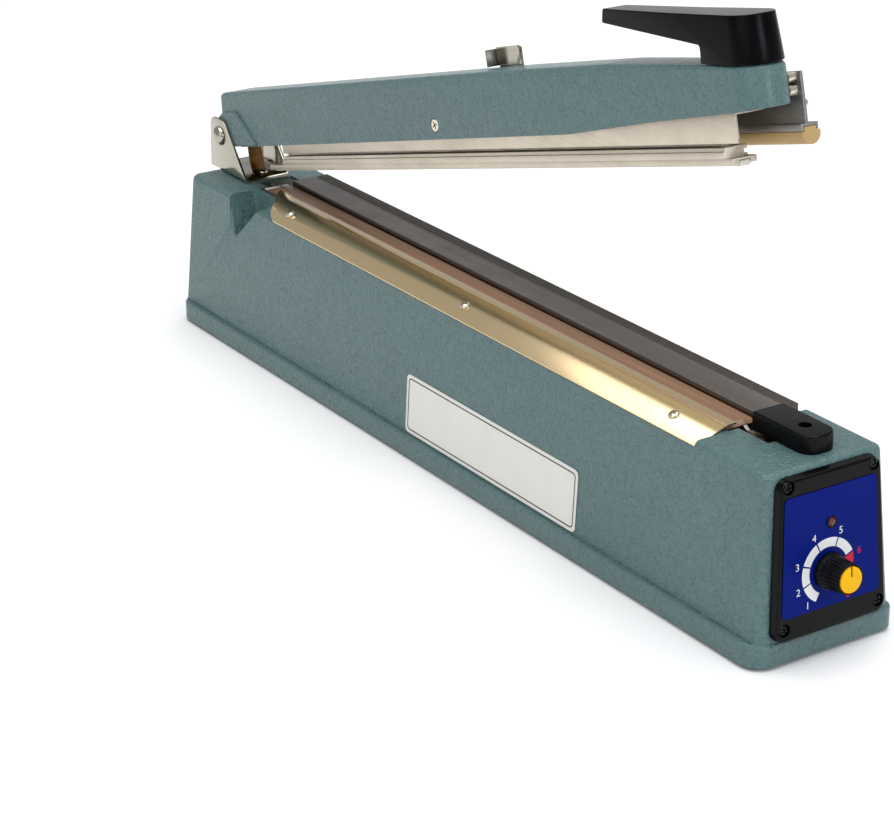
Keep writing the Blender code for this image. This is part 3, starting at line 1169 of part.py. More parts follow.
def nose_mesh(low, high, low_radius, high_radius, rear):
    """A block with an upright rear and a half-round front, whose radius changes from low to high."""
    half = low_radius + (ARM_NOSE_CENTRE - rear) * NOSE_SPREAD_SHARE
    front = arc((ARM_NOSE_CENTRE, 0.0), low_radius, 90.0, -90.0, NOSE_STEPS)
    outline = [(rear, -half), (rear, half)] + front
    mesh = prism_mesh("XY", outline, low, high)
    share = high_radius / low_radius
    for vertex in mesh.vertices:
        if vertex.co.z > (low + high) / 2:
            if vertex.co.x > ARM_NOSE_CENTRE:
                vertex.co.x = ARM_NOSE_CENTRE + (vertex.co.x - ARM_NOSE_CENTRE) * share
            vertex.co.y *= share
    for vertex in mesh.vertices:
        vertex.co.y += ARM_CENTRE_Y
    return mesh


def arm_top_at(along):
    """Height of the arm's top at the nose, on the line of its last stretch."""
    run = ARM_NOSE_CENTRE + LUG_WIDTH / 2 - ARM_TOP_FRONT
    share = (along - ARM_TOP_FRONT) / run
    return ARM_TOP - ARM_TOP_FRONT_DROP - (ARM_NOSE_TOP_DROP - ARM_TOP_FRONT_DROP) * share


def build_arm_casting():
    """Channel-shaped arm, open below, with a half-round nose and a lug at the pivot."""
    tip = ARM_NOSE_CENTRE + LUG_WIDTH / 2
    side = [
        (ARM_REAR_TOP, ARM_TOP),
        (ARM_REAR, ARM_REAR_SHOULDER),
        (ARM_REAR, 0.0),
        (LUG_PAD_TOP_FRONT, -ARM_BOTTOM),
        (ARM_BOTTOM_STRAIGHT, -ARM_BOTTOM),
        (ARM_BOTTOM_MID, -ARM_BOTTOM + ARM_BOTTOM_MID_RISE),
        (ARM_BOTTOM_FRONT, -ARM_BOTTOM + ARM_BOTTOM_FRONT_RISE),
        (tip + OVERRUN, -ARM_BOTTOM + ARM_NOSE_BOTTOM_RISE),
        (tip + OVERRUN, arm_top_at(tip + OVERRUN)),
        (ARM_TOP_FRONT, ARM_TOP - ARM_TOP_FRONT_DROP),
        (ARM_TOP_MID, ARM_TOP - ARM_TOP_MID_DROP),
        (ARM_TOP_STRAIGHT, ARM_TOP),
    ]
    near, far = ARM_CENTRE_Y - LUG_WIDTH / 2, ARM_CENTRE_Y + LUG_WIDTH / 2
    body = widen(prism_mesh("XZ", side, near, far), lambda x, z: arm_half_width(x))
    arm = place("arm_casting", body, ARM_FRAME, look=HAMMERED_TEAL)
    nose = nose_mesh(-ARM_TOP, ARM_TOP * 2, LUG_WIDTH / 2, LUG_WIDTH / 2, -LUG_RADIUS)
    cut(arm, place("cut_arm_nose", nose, ARM_FRAME, cutter=True), operation="INTERSECT")

    lug_end = 180.0 + math.degrees(math.asin(LUG_BOTTOM / LUG_RADIUS))
    lug = arc((0.0, 0.0), LUG_RADIUS, LUG_ARC_START, lug_end, ROUND_STEPS * 2)
    lug += [
        (LUG_PAD_FRONT, -LUG_BOTTOM),
        (LUG_PAD_BREAK, LUG_PAD_BREAK_HEIGHT),
        (LUG_PAD_TOP_FRONT, ARM_REAR_SHOULDER),
        (ARM_REAR_TOP, ARM_REAR_SHOULDER),
    ]
    lug_piece = place("cut_arm_lug", prism_mesh("XZ", lug, near, far), ARM_FRAME, cutter=True)
    cut(arm, lug_piece, operation="UNION")

    wall = ARM_WALL
    inner = [
        (ARM_CAVITY_REAR, ARM_TOP - wall),
        (ARM_CAVITY_REAR, -ARM_BOTTOM - OVERRUN * 2),
        (ARM_CAVITY_FRONT, -ARM_BOTTOM - OVERRUN * 2),
        (ARM_CAVITY_FRONT, arm_top_at(ARM_CAVITY_FRONT) - wall),
        (ARM_TOP_FRONT, ARM_TOP - ARM_TOP_FRONT_DROP - wall),
        (ARM_TOP_MID, ARM_TOP - ARM_TOP_MID_DROP - wall),
        (ARM_TOP_STRAIGHT, ARM_TOP - wall),
    ]
    hollow = widen(prism_mesh("XZ", inner, near, far), lambda x, z: arm_half_width(x) - wall)
    slot_half = SPRING_SLOT_WIDTH / 2
    slot = box_mesh((SPRING_SLOT_REAR, ARM_CENTRE_Y - slot_half, -ARM_BOTTOM - OVERRUN * 2),
                    (ARM_CAVITY_REAR + OVERRUN, ARM_CENTRE_Y + slot_half, ARM_TOP - wall))
    bore = cylinder_mesh(PIN_RADIUS + GAP, (0.0, near - OVERRUN, 0.0), (0.0, far + OVERRUN, 0.0))
    top_hole = hole_mesh((HANDLE_SCREW_AT, ARM_CENTRE_Y, ARM_TOP), UP, ARM_TOP, OVERRUN)
    for name, mesh in (("hollow", hollow), ("slot", slot), ("bore", bore), ("top_hole", top_hole)):
        cut(arm, place(f"cut_arm_{name}", mesh, ARM_FRAME, cutter=True))
    shank = SMALL_SHANK + GAP
    sink = [
        (0.0, GAP),
        (SIDE_SCREW_HEAD + GAP * 2 + SIDE_SCREW_SLACK, GAP),
        (shank, SMALL_SHANK - SIDE_SCREW_HEAD - SIDE_SCREW_SLACK),
        (shank, -OVERRUN),
        (0.0, -OVERRUN),
    ]
    side_y = ARM_CENTRE_Y - arm_half_width(SIDE_SCREW_AT)
    spot = (SIDE_SCREW_AT, side_y, SIDE_SCREW_HEIGHT)
    cut(arm, turned("cut_arm_sink", sink, ARM_FRAME, spot, (0, -1, 0), cutter=True))
    return arm


def build_arm_screws():
    """The countersunk side screw and the screw that holds the handle from inside the arm."""
    side_y = ARM_CENTRE_Y - arm_half_width(SIDE_SCREW_AT)
    beam_near = ARM_CENTRE_Y - BEAM_WIDTH / 2
    length = beam_near - side_y - GAP * 2
    profile = [
        (0.0, -GAP),
        (SIDE_SCREW_HEAD, -GAP),
        (SMALL_SHANK, SMALL_SHANK - SIDE_SCREW_HEAD - GAP),
        (SMALL_SHANK, -length),
        (0.0, -length),
    ]
    spot = (SIDE_SCREW_AT, side_y, SIDE_SCREW_HEIGHT)
    smooth(turned("arm_side_screw", profile, ARM_FRAME, spot, (0, -1, 0), SCREW_STEEL))
    under = arm_top_at(HANDLE_SCREW_AT) - ARM_WALL - GAP * 2
    seat = (HANDLE_SCREW_AT, ARM_CENTRE_Y, under)
    smooth(pan_screw("handle_screw", ARM_FRAME, seat, (0, 0, -1), SCREW_STEEL, HANDLE_SCREW_LENGTH))


def handle_half_width(along, above):
    """Half the handle's width: it narrows upwards and towards its free end."""
    foot = LUG_WIDTH / 2
    top = HANDLE_TOP_FRONT_WIDTH / 2
    foot_height = arm_top_at(ARM_NOSE_CENTRE)
    per_height = (top - foot) / (HANDLE_FRONT_TOP_HEIGHT - foot_height)
    rear = HANDLE_REAR_WIDTH / 2 - per_height * (HANDLE_REAR_TOP_HEIGHT - foot_height)
    per_length = (foot - rear) / (ARM_NOSE_CENTRE - HANDLE_REAR_TOP)
    return foot + per_length * (along - ARM_NOSE_CENTRE) + per_height * (above - foot_height)


def build_handle():
    """Black handle: a foot on the arm's nose and a grip that reaches back over the arm."""
    tip = ARM_NOSE_CENTRE + LUG_WIDTH / 2
    side = [
        (HANDLE_REAR_TOP, HANDLE_REAR_TOP_HEIGHT),
        (HANDLE_REAR_BOTTOM, HANDLE_REAR_BOTTOM_HEIGHT),
        (HANDLE_CORNER, HANDLE_CORNER_HEIGHT),
        (HANDLE_CORNER + GAP, arm_top_at(HANDLE_CORNER) + GAP),
        (ARM_TOP_FRONT, ARM_TOP - ARM_TOP_FRONT_DROP + GAP),
        (tip + OVERRUN, arm_top_at(tip + OVERRUN) + GAP),
        (tip + OVERRUN, HANDLE_FRONT_TOP_HEIGHT),
        (HANDLE_FRONT_TOP, HANDLE_FRONT_TOP_HEIGHT),
        (HANDLE_MID_TOP, HANDLE_MID_TOP_HEIGHT),
    ]
    half = LUG_WIDTH / 2
    solid = widen(prism_mesh("XZ", side, ARM_CENTRE_Y - half, ARM_CENTRE_Y + half), handle_half_width)
    handle = place("handle", solid, ARM_FRAME, look=BLACK_SATIN)
    low = arm_top_at(ARM_NOSE_CENTRE)
    high = HANDLE_FRONT_TOP_HEIGHT + OVERRUN * 2
    top_radius = half + (HANDLE_TOP_FRONT_WIDTH / 2 - half) * (high - low) / (HANDLE_FRONT_TOP_HEIGHT - low)
    below = low - OVERRUN
    low_radius = half + (half - HANDLE_TOP_FRONT_WIDTH / 2) * OVERRUN / (HANDLE_FRONT_TOP_HEIGHT - low)
    nose = nose_mesh(below, high, low_radius, top_radius, HANDLE_REAR_BOTTOM - OVERRUN)
    cut(handle, place("cut_handle_nose", nose, ARM_FRAME, cutter=True), operation="INTERSECT")
    bore = hole_mesh((HANDLE_SCREW_AT, ARM_CENTRE_Y, low), UP, OVERRUN, HANDLE_SCREW_LENGTH)
    cut(handle, place("cut_handle_bore", bore, ARM_FRAME, cutter=True))


def build_beam():
    """Inverted channel inside the arm that the press bar slides up into."""
    near, far = ARM_CENTRE_Y - BEAM_WIDTH / 2, ARM_CENTRE_Y + BEAM_WIDTH / 2
    wall = BEAM_WALL
    outline = [(near, -BEAM_BOTTOM), (near, BEAM_TOP), (far, BEAM_TOP), (far, -BEAM_BOTTOM),
               (far - wall, -BEAM_BOTTOM), (far - wall, BEAM_TOP - wall), (near + wall, BEAM_TOP - wall),
               (near + wall, -BEAM_BOTTOM)]
    beam = place("beam_channel", prism_mesh("YZ", outline, BEAM_REAR, BEAM_FRONT), BARS_FRAME,
                 look=MILLED_ALUMINIUM)
    hole = hole_mesh((GUIDE_PIN_FRONT, GUIDE_PIN_Y, BEAM_TOP), UP, OVERRUN, OVERRUN, GUIDE_PIN_RADIUS + GAP)
    short = box_mesh((BEAM_FAR_FRONT, far - wall - GAP, -BEAM_BOTTOM - OVERRUN),
                     (BEAM_FRONT + OVERRUN, far + OVERRUN, BEAM_TOP - wall))
    for name, mesh in (("hole", hole), ("far_wall", short)):
        cut(beam, place(f"cut_beam_{name}", mesh, BARS_FRAME, cutter=True))


def build_press_bar():
    """Aluminium press bar with a flange, a body and a stem, its silicone pad and its guide pins."""
    flange_top = -BAR_BOTTOM + BAR_FLANGE
    pad_near = PAD_CENTRE_Y - PAD_WIDTH / 2
    pad_far = PAD_CENTRE_Y + PAD_WIDTH / 2
    groove_top = -BAR_BOTTOM + PAD_DEPTH + GAP
    flange = [(BAR_NEAR, -BAR_BOTTOM), (pad_near - GAP, -BAR_BOTTOM), (pad_near - GAP, groove_top),
              (pad_far + GAP, groove_top), (pad_far + GAP, -BAR_BOTTOM), (BAR_FAR, -BAR_BOTTOM),
              (BAR_FAR, flange_top), (BAR_NEAR, flange_top)]
    flange_piece = prism_mesh("YZ", flange, BAR_REAR, BAR_FRONT)
    bar = place("press_bar", flange_piece, BARS_FRAME, look=MILLED_ALUMINIUM)
    notch_low = flange_top + BAR_GROOVE / 2
    notch_high = notch_low + BAR_GROOVE
    neck = BAR_FAR - BAR_GROOVE
    join = flange_top - GAP
    upper = [(BAR_NEAR, join), (BAR_FAR, join), (BAR_FAR, notch_low), (neck, notch_low),
             (neck, notch_high), (BAR_FAR, notch_high), (BAR_FAR, -BAR_TOP),
             (BAR_STEM_FAR, -BAR_TOP), (BAR_STEM_FAR, -BAR_STEM_TOP),
             (BAR_STEM_NEAR, -BAR_STEM_TOP), (BAR_STEM_NEAR, -BAR_TOP), (BAR_NEAR, -BAR_TOP)]
    body = prism_mesh("YZ", upper, BAR_UPPER_REAR, BAR_UPPER_FRONT)
    cut(bar, place("cut_bar_body", body, BARS_FRAME, cutter=True), operation="UNION")
    short = box_mesh((BAR_STEM_FRONT, BAR_STEM_NEAR - GAP, -BAR_TOP),
                     (BAR_FRONT, BAR_STEM_FAR + GAP, -BAR_STEM_TOP + GAP))
    cut(bar, place("cut_bar_stem", short, BARS_FRAME, cutter=True))
    pad = box_mesh((BAR_REAR, pad_near, -BAR_BOTTOM - PAD_PROUD),
                   (BAR_FRONT, pad_far, -BAR_BOTTOM + PAD_DEPTH))
    place("press_bar_pad", pad, BARS_FRAME, look=SILICONE_WHITE)
    rear = cylinder_mesh(GUIDE_PIN_RADIUS, (GUIDE_PIN_REAR, GUIDE_PIN_Y, flange_top + GAP),
                         (GUIDE_PIN_REAR, GUIDE_PIN_Y, GUIDE_PIN_REAR_TOP), segments=SCREW_STEPS)
    front = cylinder_mesh(GUIDE_PIN_RADIUS, (GUIDE_PIN_FRONT, GUIDE_PIN_Y, -BAR_STEM_TOP + GAP),
                          (GUIDE_PIN_FRONT, GUIDE_PIN_Y, GUIDE_PIN_FRONT_TOP), segments=SCREW_STEPS)
    for name, mesh in (("rear", rear), ("front", front)):
        smooth(place(f"guide_pin_{name}", mesh, BARS_FRAME, look=SCREW_STEEL))


def build_cutter_rail():
    """Rail beside the arm: an upright plate over an inverted channel with a silicone strip in it."""
    wall = HOLDER_WALL
    plate_far = PLATE_NEAR + PLATE_THICKNESS
    outline = [
        (HOLDER_NEAR, -HOLDER_BOTTOM), (HOLDER_NEAR, -HOLDER_TOP), (PLATE_NEAR, -HOLDER_TOP),
        (PLATE_NEAR, PLATE_TOP), (plate_far, PLATE_TOP), (plate_far, -HOLDER_TOP), (HOLDER_FAR, -HOLDER_TOP),
        (HOLDER_FAR, -HOLDER_BOTTOM), (HOLDER_FAR - wall, -HOLDER_BOTTOM),
        (HOLDER_FAR - wall, -HOLDER_TOP - wall), (HOLDER_NEAR + wall, -HOLDER_TOP - wall),
        (HOLDER_NEAR + wall, -HOLDER_BOTTOM),
    ]
    rail = place("cutter_rail", prism_mesh("YZ", outline, HOLDER_REAR, HOLDER_FRONT), BARS_FRAME,
                 look=MILLED_ALUMINIUM)
    spot = Vector((SPACER_FRONT, plate_far, RAIL_SCREW_HEIGHT))
    cut(rail, place("cut_rail_hole", hole_mesh(spot, (0, 1, 0), OVERRUN, OVERRUN), BARS_FRAME, cutter=True))
    smooth(pan_screw("rail_screw", BARS_FRAME, spot + Vector((0, GAP, 0)), (0, 1, 0), SCREW_STEEL,
                     PLATE_THICKNESS + GAP))

    near, far = HOLDER_NEAR + wall + GAP, HOLDER_FAR - wall - GAP
    neck_top = -HOLDER_TOP - wall - GAP
    neck_bottom = -HOLDER_BOTTOM - GAP
    radius = (BULB_FAR - BULB_NEAR) / 2
    centre = ((BULB_NEAR + BULB_FAR) / 2, -BULB_BOTTOM + radius)
    section = [(near, neck_top), (near, neck_bottom), (BULB_NEAR, neck_bottom)]
    section += arc(centre, radius, 180.0, 360.0, BULB_STEPS)
    section += [(BULB_FAR, neck_bottom), (far, neck_bottom), (far, neck_top)]
    strip = prism_mesh("YZ", section, HOLDER_REAR, HOLDER_FRONT)
    smooth(place("silicone_strip", strip, BARS_FRAME, look=SILICONE_TAN))

    far_side = ARM_CENTRE_Y + LUG_WIDTH / 2
    spacers = (("front_upper", SPACER_FRONT, SPACER_UPPER), ("front_lower", SPACER_FRONT, SPACER_LOWER),
               ("rear", SPACER_REAR, SPACER_LOWER))
    for name, along, above in spacers:
        start = ARM_CENTRE_Y + arm_half_width(along) if along < ARM_NOSE_CENTRE else far_side
        mesh = cylinder_mesh(SPACER_RADIUS, (along, start + GAP, above), (along, PLATE_NEAR - GAP, above),
                             segments=SCREW_STEPS)
        smooth(place(f"rail_spacer_{name}", mesh, BARS_FRAME, look=SCREW_STEEL))


def build_cutter():
    """Sliding cutter: a bent carriage, a knurled thumb plate and a blade."""
    front = CUTTER_AT + CUTTER_WIDTH
    plate_far = CUTTER_PLATE_Y + CUTTER_PLATE_THICKNESS
    inner = CUTTER_AT + CUTTER_FLANGE_THICKNESS
    carriage = place("cutter_carriage",
                     box_mesh((CUTTER_AT, CUTTER_PLATE_Y, -CUTTER_BOTTOM), (front, plate_far, CUTTER_TOP)),
                     ARM_FRAME, look=DARK_STEEL)
    flange = box_mesh((CUTTER_AT, CUTTER_FLANGE_NEAR, CUTTER_FLANGE_BOTTOM),
                      (inner, plate_far - GAP, CUTTER_TOP))
    cut(carriage, place("cut_carriage_flange", flange, ARM_FRAME, cutter=True), operation="UNION")
    thumb = box_mesh((inner + GAP, CUTTER_PLATE_Y - GAP - THUMB_THICKNESS, CUTTER_FLANGE_BOTTOM),
                     (front, CUTTER_PLATE_Y - GAP, THUMB_TOP))
    place("cutter_thumb_plate", thumb, ARM_FRAME, look=CHROME)
    rear = CUTTER_AT + BLADE_OFFSET
    blade = [(rear, -BLADE_TOP), (rear, -BLADE_TIP + BLADE_THICKNESS), (rear + BLADE_THICKNESS, -BLADE_TIP),
             (rear + BLADE_LENGTH, -CUTTER_BOTTOM), (rear + BLADE_LENGTH, -BLADE_TOP)]
    far = CUTTER_PLATE_Y - GAP
    place("cutter_blade", prism_mesh("XZ", blade, far - BLADE_THICKNESS, far), ARM_FRAME, look=SCREW_STEEL)


def bezel_hole(radius, y, t):
    return cylinder_mesh(radius, (-OVERRUN, y, t), (BEZEL_THICKNESS + OVERRUN, y, t))


def build_panel():
    """Bezel, dial plate, screws and lamp on the front wall."""
    corners = [(-BEZEL_BOTTOM_HALF, -BEZEL_HALF_HEIGHT), (BEZEL_BOTTOM_HALF, -BEZEL_HALF_HEIGHT),
               (BEZEL_TOP_HALF, BEZEL_HALF_HEIGHT), (-BEZEL_TOP_HALF, BEZEL_HALF_HEIGHT)]
    face = GAP + BEZEL_THICKNESS
    bezel = place("panel_bezel", prism_mesh("YZ", rounded(corners, BEZEL_CORNER), GAP, face), PANEL,
                  look=BLACK_GLOSS)
    seats = [cylinder_mesh(SMALL_HEAD + GAP, (face - SMALL_HEAD_HEIGHT - GAP, y, t), (face + OVERRUN, y, t),
                           segments=SCREW_STEPS) for y, t in panel_screw_places()]
    holes = [hole_mesh((GAP, y, t), (1, 0, 0), OVERRUN, OVERRUN) for y, t in panel_screw_places()]
    openings = [bezel_hole(POT_BUSH_RADIUS + GAP, KNOB_Y, KNOB_T),
                bezel_hole(LAMP_RADIUS + GAP, LAMP_Y, LAMP_T)]
    for name, meshes in (("seats", seats), ("holes", holes), ("openings", openings)):
        cut(bezel, place(f"cut_bezel_{name}", joined_mesh(meshes), PANEL, cutter=True))
    look_face = face + THIN_GAP
    left = DIAL_CENTRE_Y
    plate_corners = [(left - DIAL_LOW_HALF, DIAL_LOW), (left + DIAL_LOW_HALF, DIAL_LOW),
                     (left + DIAL_HIGH_HALF, DIAL_HIGH), (left - DIAL_HIGH_HALF, DIAL_HIGH)]
    plate_mesh = prism_mesh("YZ", rounded(plate_corners, DIAL_CORNER), look_face, look_face + DIAL_THICKNESS)
    plate = place("dial_plate", plate_mesh, PANEL, look=PANEL_BLUE)
    plate_holes = [bezel_hole(POT_BUSH_RADIUS + GAP, KNOB_Y, KNOB_T),
                   bezel_hole(LAMP_RADIUS + GAP, LAMP_Y, LAMP_T)]
    cut(plate, place("cut_dial_holes", joined_mesh(plate_holes), PANEL, cutter=True))
    names = ("top_near", "top_far", "low_near", "low_far")
    for name, (y, t) in zip(names, panel_screw_places()):
        seat = (face - SMALL_HEAD_HEIGHT, y, t)
        smooth(pan_screw(f"panel_screw_{name}", PANEL, seat, (1, 0, 0), BLACK_SATIN))
    dome = arc((0.0, 0.0), 1.0, 90.0, 0.0, ROUND_STEPS)
    profile = [(LAMP_RADIUS * a, look_face + LAMP_DOME * b) for a, b in dome]
    profile[0] = (0.0, profile[0][1])
    profile += [(LAMP_RADIUS, look_face - LAMP_LENGTH), (0.0, look_face - LAMP_LENGTH)]
    smooth(turned("indicator_lamp", profile, PANEL, (0.0, LAMP_Y, LAMP_T), (1, 0, 0), LAMP_AMBER))


def build_timer():
    """Potentiometer on its board, the fluted knob on its shaft and the knob's cap."""
    face = GAP + BEZEL_THICKNESS + THIN_GAP + DIAL_THICKNESS
    knob_base = face + GAP
    bush_end = face + POT_BUSH_PROUD
    shaft_end = knob_base + POT_SHAFT_REACH
    at = (0.0, KNOB_Y, KNOB_T)
    profile = [
        (0.0, shaft_end),
        (POT_SHAFT_RADIUS, shaft_end),
        (POT_SHAFT_RADIUS, bush_end),
        (POT_BUSH_RADIUS, bush_end),
        (POT_BUSH_RADIUS, 0.0),
        (POT_BODY_RADIUS, 0.0),
        (POT_BODY_RADIUS, -POT_BODY_DEPTH),
        (0.0, -POT_BODY_DEPTH),
    ]
    smooth(turned("timer_potentiometer", profile, PANEL, at, (1, 0, 0), SWITCH_BLACK, ROUND_SEGMENTS))
    board_face = -POT_BODY_DEPTH - GAP
    board = box_mesh((board_face - BOARD_THICKNESS, -BOARD_HALF, -BOARD_HEIGHT / 2),
                     (board_face, BOARD_HALF, BOARD_HEIGHT / 2))
    place("timer_board", board, PANEL, look=BOARD_GREEN)

    top = knob_base + KNOB_HEIGHT
    skirt = knob_base + KNOB_SKIRT_HEIGHT
    recess_top = bush_end + GAP
    bore_top = shaft_end + GAP
    seat = top - CAP_SEAT_DEPTH
    knob = [
        (0.0, seat),
        (CAP_RADIUS + GAP, seat),
        (CAP_RADIUS + GAP, top),
        (KNOB_TOP_RADIUS, top),
        (KNOB_BASE_RADIUS - GAP, skirt),
        (KNOB_BASE_RADIUS, skirt),
        (KNOB_BASE_RADIUS, knob_base),
        (POT_BUSH_RADIUS + GAP * 2, knob_base),
        (POT_BUSH_RADIUS + GAP * 2, recess_top),
        (POT_SHAFT_RADIUS + GAP, recess_top),
        (POT_SHAFT_RADIUS + GAP, bore_top),
        (0.0, bore_top),
    ]
    smooth(turned("timer_knob", knob, PANEL, at, (1, 0, 0), BLACK_SATIN, ROUND_SEGMENTS))
    cap_top = seat + GAP + CAP_THICKNESS
    cap = [(0.0, cap_top), (CAP_RADIUS, cap_top), (CAP_RADIUS, seat + GAP),
           (0.0, seat + GAP)]
    smooth(turned("knob_cap", cap, PANEL, at, (1, 0, 0), CAP_YELLOW, ROUND_SEGMENTS))


def build_transformer():
    """Laminated core with two windows, and the coil round its centre limb."""
    base = COVER_RAISE + COVER_THICKNESS + GAP
    half = CORE_LENGTH / 2
    low, high = base + CORE_LIMB, base + CORE_HEIGHT - CORE_LIMB
    limb = CORE_CENTRE_LIMB / 2
    window = half - CORE_LIMB
    outlines = [rectangle(-half, half, base, base + CORE_HEIGHT), rectangle(-window, -limb, low, high),
                rectangle(limb, window, low, high)]
    stack = CORE_STACK / 2
    place("transformer_core", prism_mesh("XZ", outlines, -stack, stack), STAND, look=CORE_STEEL)
    outer_x, outer_y = window - COIL_GAP, stack + COIL_BULGE
    inner_x, inner_y = limb + COIL_GAP, stack + COIL_GAP
    ring = [rounded(rectangle(-outer_x, outer_x, -outer_y, outer_y), COIL_BULGE / 2),
            rectangle(-inner_x, inner_x, -inner_y, inner_y)]
    winding = prism_mesh("XY", ring, low + COIL_GAP, high - COIL_GAP)
    place("transformer_coil", winding, STAND, look=COIL_COPPER)


def build_switch():
    """Microswitch under the rear block's roof and the plunger that the arm's lug presses."""
    top = BLOCK_ROOF - GAP
    half_x, half_y = SWITCH_LENGTH / 2, SWITCH_WIDTH / 2
    body = box_mesh((PLUNGER_X - half_x, PLUNGER_Y - half_y, top - SWITCH_HEIGHT),
                    (PLUNGER_X + half_x, PLUNGER_Y + half_y, top))
    switch = place("microswitch", body, STAND, look=SWITCH_BLACK)
    well = hole_mesh((PLUNGER_X, PLUNGER_Y, top), UP, SWITCH_WELL, OVERRUN, PLUNGER_RADIUS + GAP)
    cut(switch, place("cut_switch_well", well, STAND, cutter=True))
    foot = top - SWITCH_WELL + PLUNGER_TRAVEL + GAP
    length = PLUNGER_TOP - foot
    edge = PLUNGER_RADIUS / 2
    profile = [(0.0, length), (PLUNGER_RADIUS - edge, length), (PLUNGER_RADIUS, length - edge),
               (PLUNGER_RADIUS, 0.0), (0.0, 0.0)]
    smooth(turned("switch_plunger", profile, STAND, (PLUNGER_X, PLUNGER_Y, foot), UP, SCREW_STEEL))


def build_gland():
    """Cord gland pressed into the rear wall, with an open bore."""
    profile = [
        (GLAND_BORE, GLAND_FLANGE),
        (GLAND_FLANGE_RADIUS - GLAND_FLANGE / 2, GLAND_FLANGE),
        (GLAND_FLANGE_RADIUS, GLAND_FLANGE / 2),
        (GLAND_FLANGE_RADIUS, 0.0),
        (GLAND_RADIUS, 0.0),
        (GLAND_RADIUS, -GLAND_LENGTH),
        (GLAND_BORE, -GLAND_LENGTH),
        (GLAND_BORE, GLAND_FLANGE),
    ]
    seat = (-GAP, 0.0, 0.0)
    smooth(turned("cord_gland", profile, REAR_WALL, seat, (-1, 0, 0), BLACK_SATIN, ROUND_SEGMENTS))


def build_label():
    """Blank label on the near wall."""
    lean = math.cos(SIDE_LEAN)
    half = (LABEL_HIGH - LABEL_LOW) / 2 / lean
    outline = rounded(rectangle(LABEL_REAR, LABEL_FRONT, -half, half), LABEL_CORNER)
    mesh = prism_mesh("XZ", outline, -THIN_GAP - LABEL_THICKNESS, -THIN_GAP)
    place("side_label", mesh, NEAR_WALL, look=LABEL_WHITE)


def centre_on_origin():
    """Move the stand so that the middle of the whole length is over the origin."""
    graph = bpy.context.evaluated_depsgraph_get()
    reach = []
    for piece in PARTS.objects:
        if piece.type == "MESH":
            shaped = piece.evaluated_get(graph)
            reach += [(shaped.matrix_world @ vertex.co).x for vertex in shaped.data.vertices]
    STAND.location.x -= (min(reach) + max(reach)) / 2
    bpy.context.view_layer.update()


build_base_casting()
build_bottom()
build_bed()
build_cover_strip()
build_bed_rail()
build_terminals()
build_hinge()
build_return_spring()
build_arm_casting()
build_arm_screws()
build_handle()
build_beam()
build_press_bar()
build_cutter_rail()
build_cutter()
build_panel()
build_timer()
build_transformer()
build_switch()
build_gland()
build_label()
centre_on_origin()
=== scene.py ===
"""Hand impulse sealer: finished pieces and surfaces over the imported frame."""
import math

import bmesh
import bpy
from mathutils import Matrix, Vector


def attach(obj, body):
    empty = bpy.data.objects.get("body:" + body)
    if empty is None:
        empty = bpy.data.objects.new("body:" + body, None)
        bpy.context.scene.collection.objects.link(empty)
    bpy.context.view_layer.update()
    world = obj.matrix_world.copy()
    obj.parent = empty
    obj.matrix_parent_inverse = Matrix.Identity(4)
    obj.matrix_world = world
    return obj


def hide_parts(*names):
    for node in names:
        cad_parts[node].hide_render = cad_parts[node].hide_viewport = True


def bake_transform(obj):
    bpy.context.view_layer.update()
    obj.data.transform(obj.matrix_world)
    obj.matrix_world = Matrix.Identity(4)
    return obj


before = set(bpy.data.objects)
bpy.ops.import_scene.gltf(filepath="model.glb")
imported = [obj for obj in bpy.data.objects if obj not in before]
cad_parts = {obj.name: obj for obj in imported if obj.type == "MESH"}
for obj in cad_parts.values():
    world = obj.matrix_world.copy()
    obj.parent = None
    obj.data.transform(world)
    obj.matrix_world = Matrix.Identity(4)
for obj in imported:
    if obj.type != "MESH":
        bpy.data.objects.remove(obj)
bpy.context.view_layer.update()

# Frames of the object, in millimetres inside and metres outside
ARM_OPEN = math.radians(15.0)
BARS_OPEN = math.radians(14.7)
PIVOT_X, PIVOT_Z = -263.0, 113.8
FLANGE_TOP, BODY_TOP = 11.0, 91.4
END_LEAN = math.atan2(6.0, BODY_TOP - FLANGE_TOP)
SIDE_LEAN = math.atan2(4.7, BODY_TOP - FLANGE_TOP)


def end_half(z):
    return 276.0 - 6.0 * (z - FLANGE_TOP) / (BODY_TOP - FLANGE_TOP)


def side_half(z):
    return 39.0 - 4.7 * (z - FLANGE_TOP) / (BODY_TOP - FLANGE_TOP)


def shifted(x, y, z):
    return Matrix.Translation((x, y, z))


PANEL_MID = 50.4
GLAND_SPOT = (-end_half(28.0), 18.0, 28.0)
LABEL_MID = 28.8
STAND = shifted(-0.0088524, 0.0, 0.002) @ Matrix.Scale(0.001, 4)
ARM = STAND @ shifted(PIVOT_X, 0, PIVOT_Z) @ Matrix.Rotation(-ARM_OPEN, 4, "Y")
BARS = STAND @ shifted(PIVOT_X, 0, PIVOT_Z) @ Matrix.Rotation(-BARS_OPEN, 4, "Y")
PANEL = STAND @ shifted(end_half(PANEL_MID), 0, PANEL_MID) @ Matrix.Rotation(-END_LEAN, 4, "Y")
REAR_WALL = STAND @ shifted(*GLAND_SPOT) @ Matrix.Rotation(END_LEAN, 4, "Y")
NEAR_WALL = STAND @ shifted(0, -side_half(LABEL_MID), LABEL_MID) @ Matrix.Rotation(-SIDE_LEAN, 4, "X")

ARM_Y = -1.4
ARM_SIDES = (ARM_Y - 13.5, ARM_Y + 13.5)
NOSE_CENTRE, NOSE_RADIUS = 496.3, 13.5


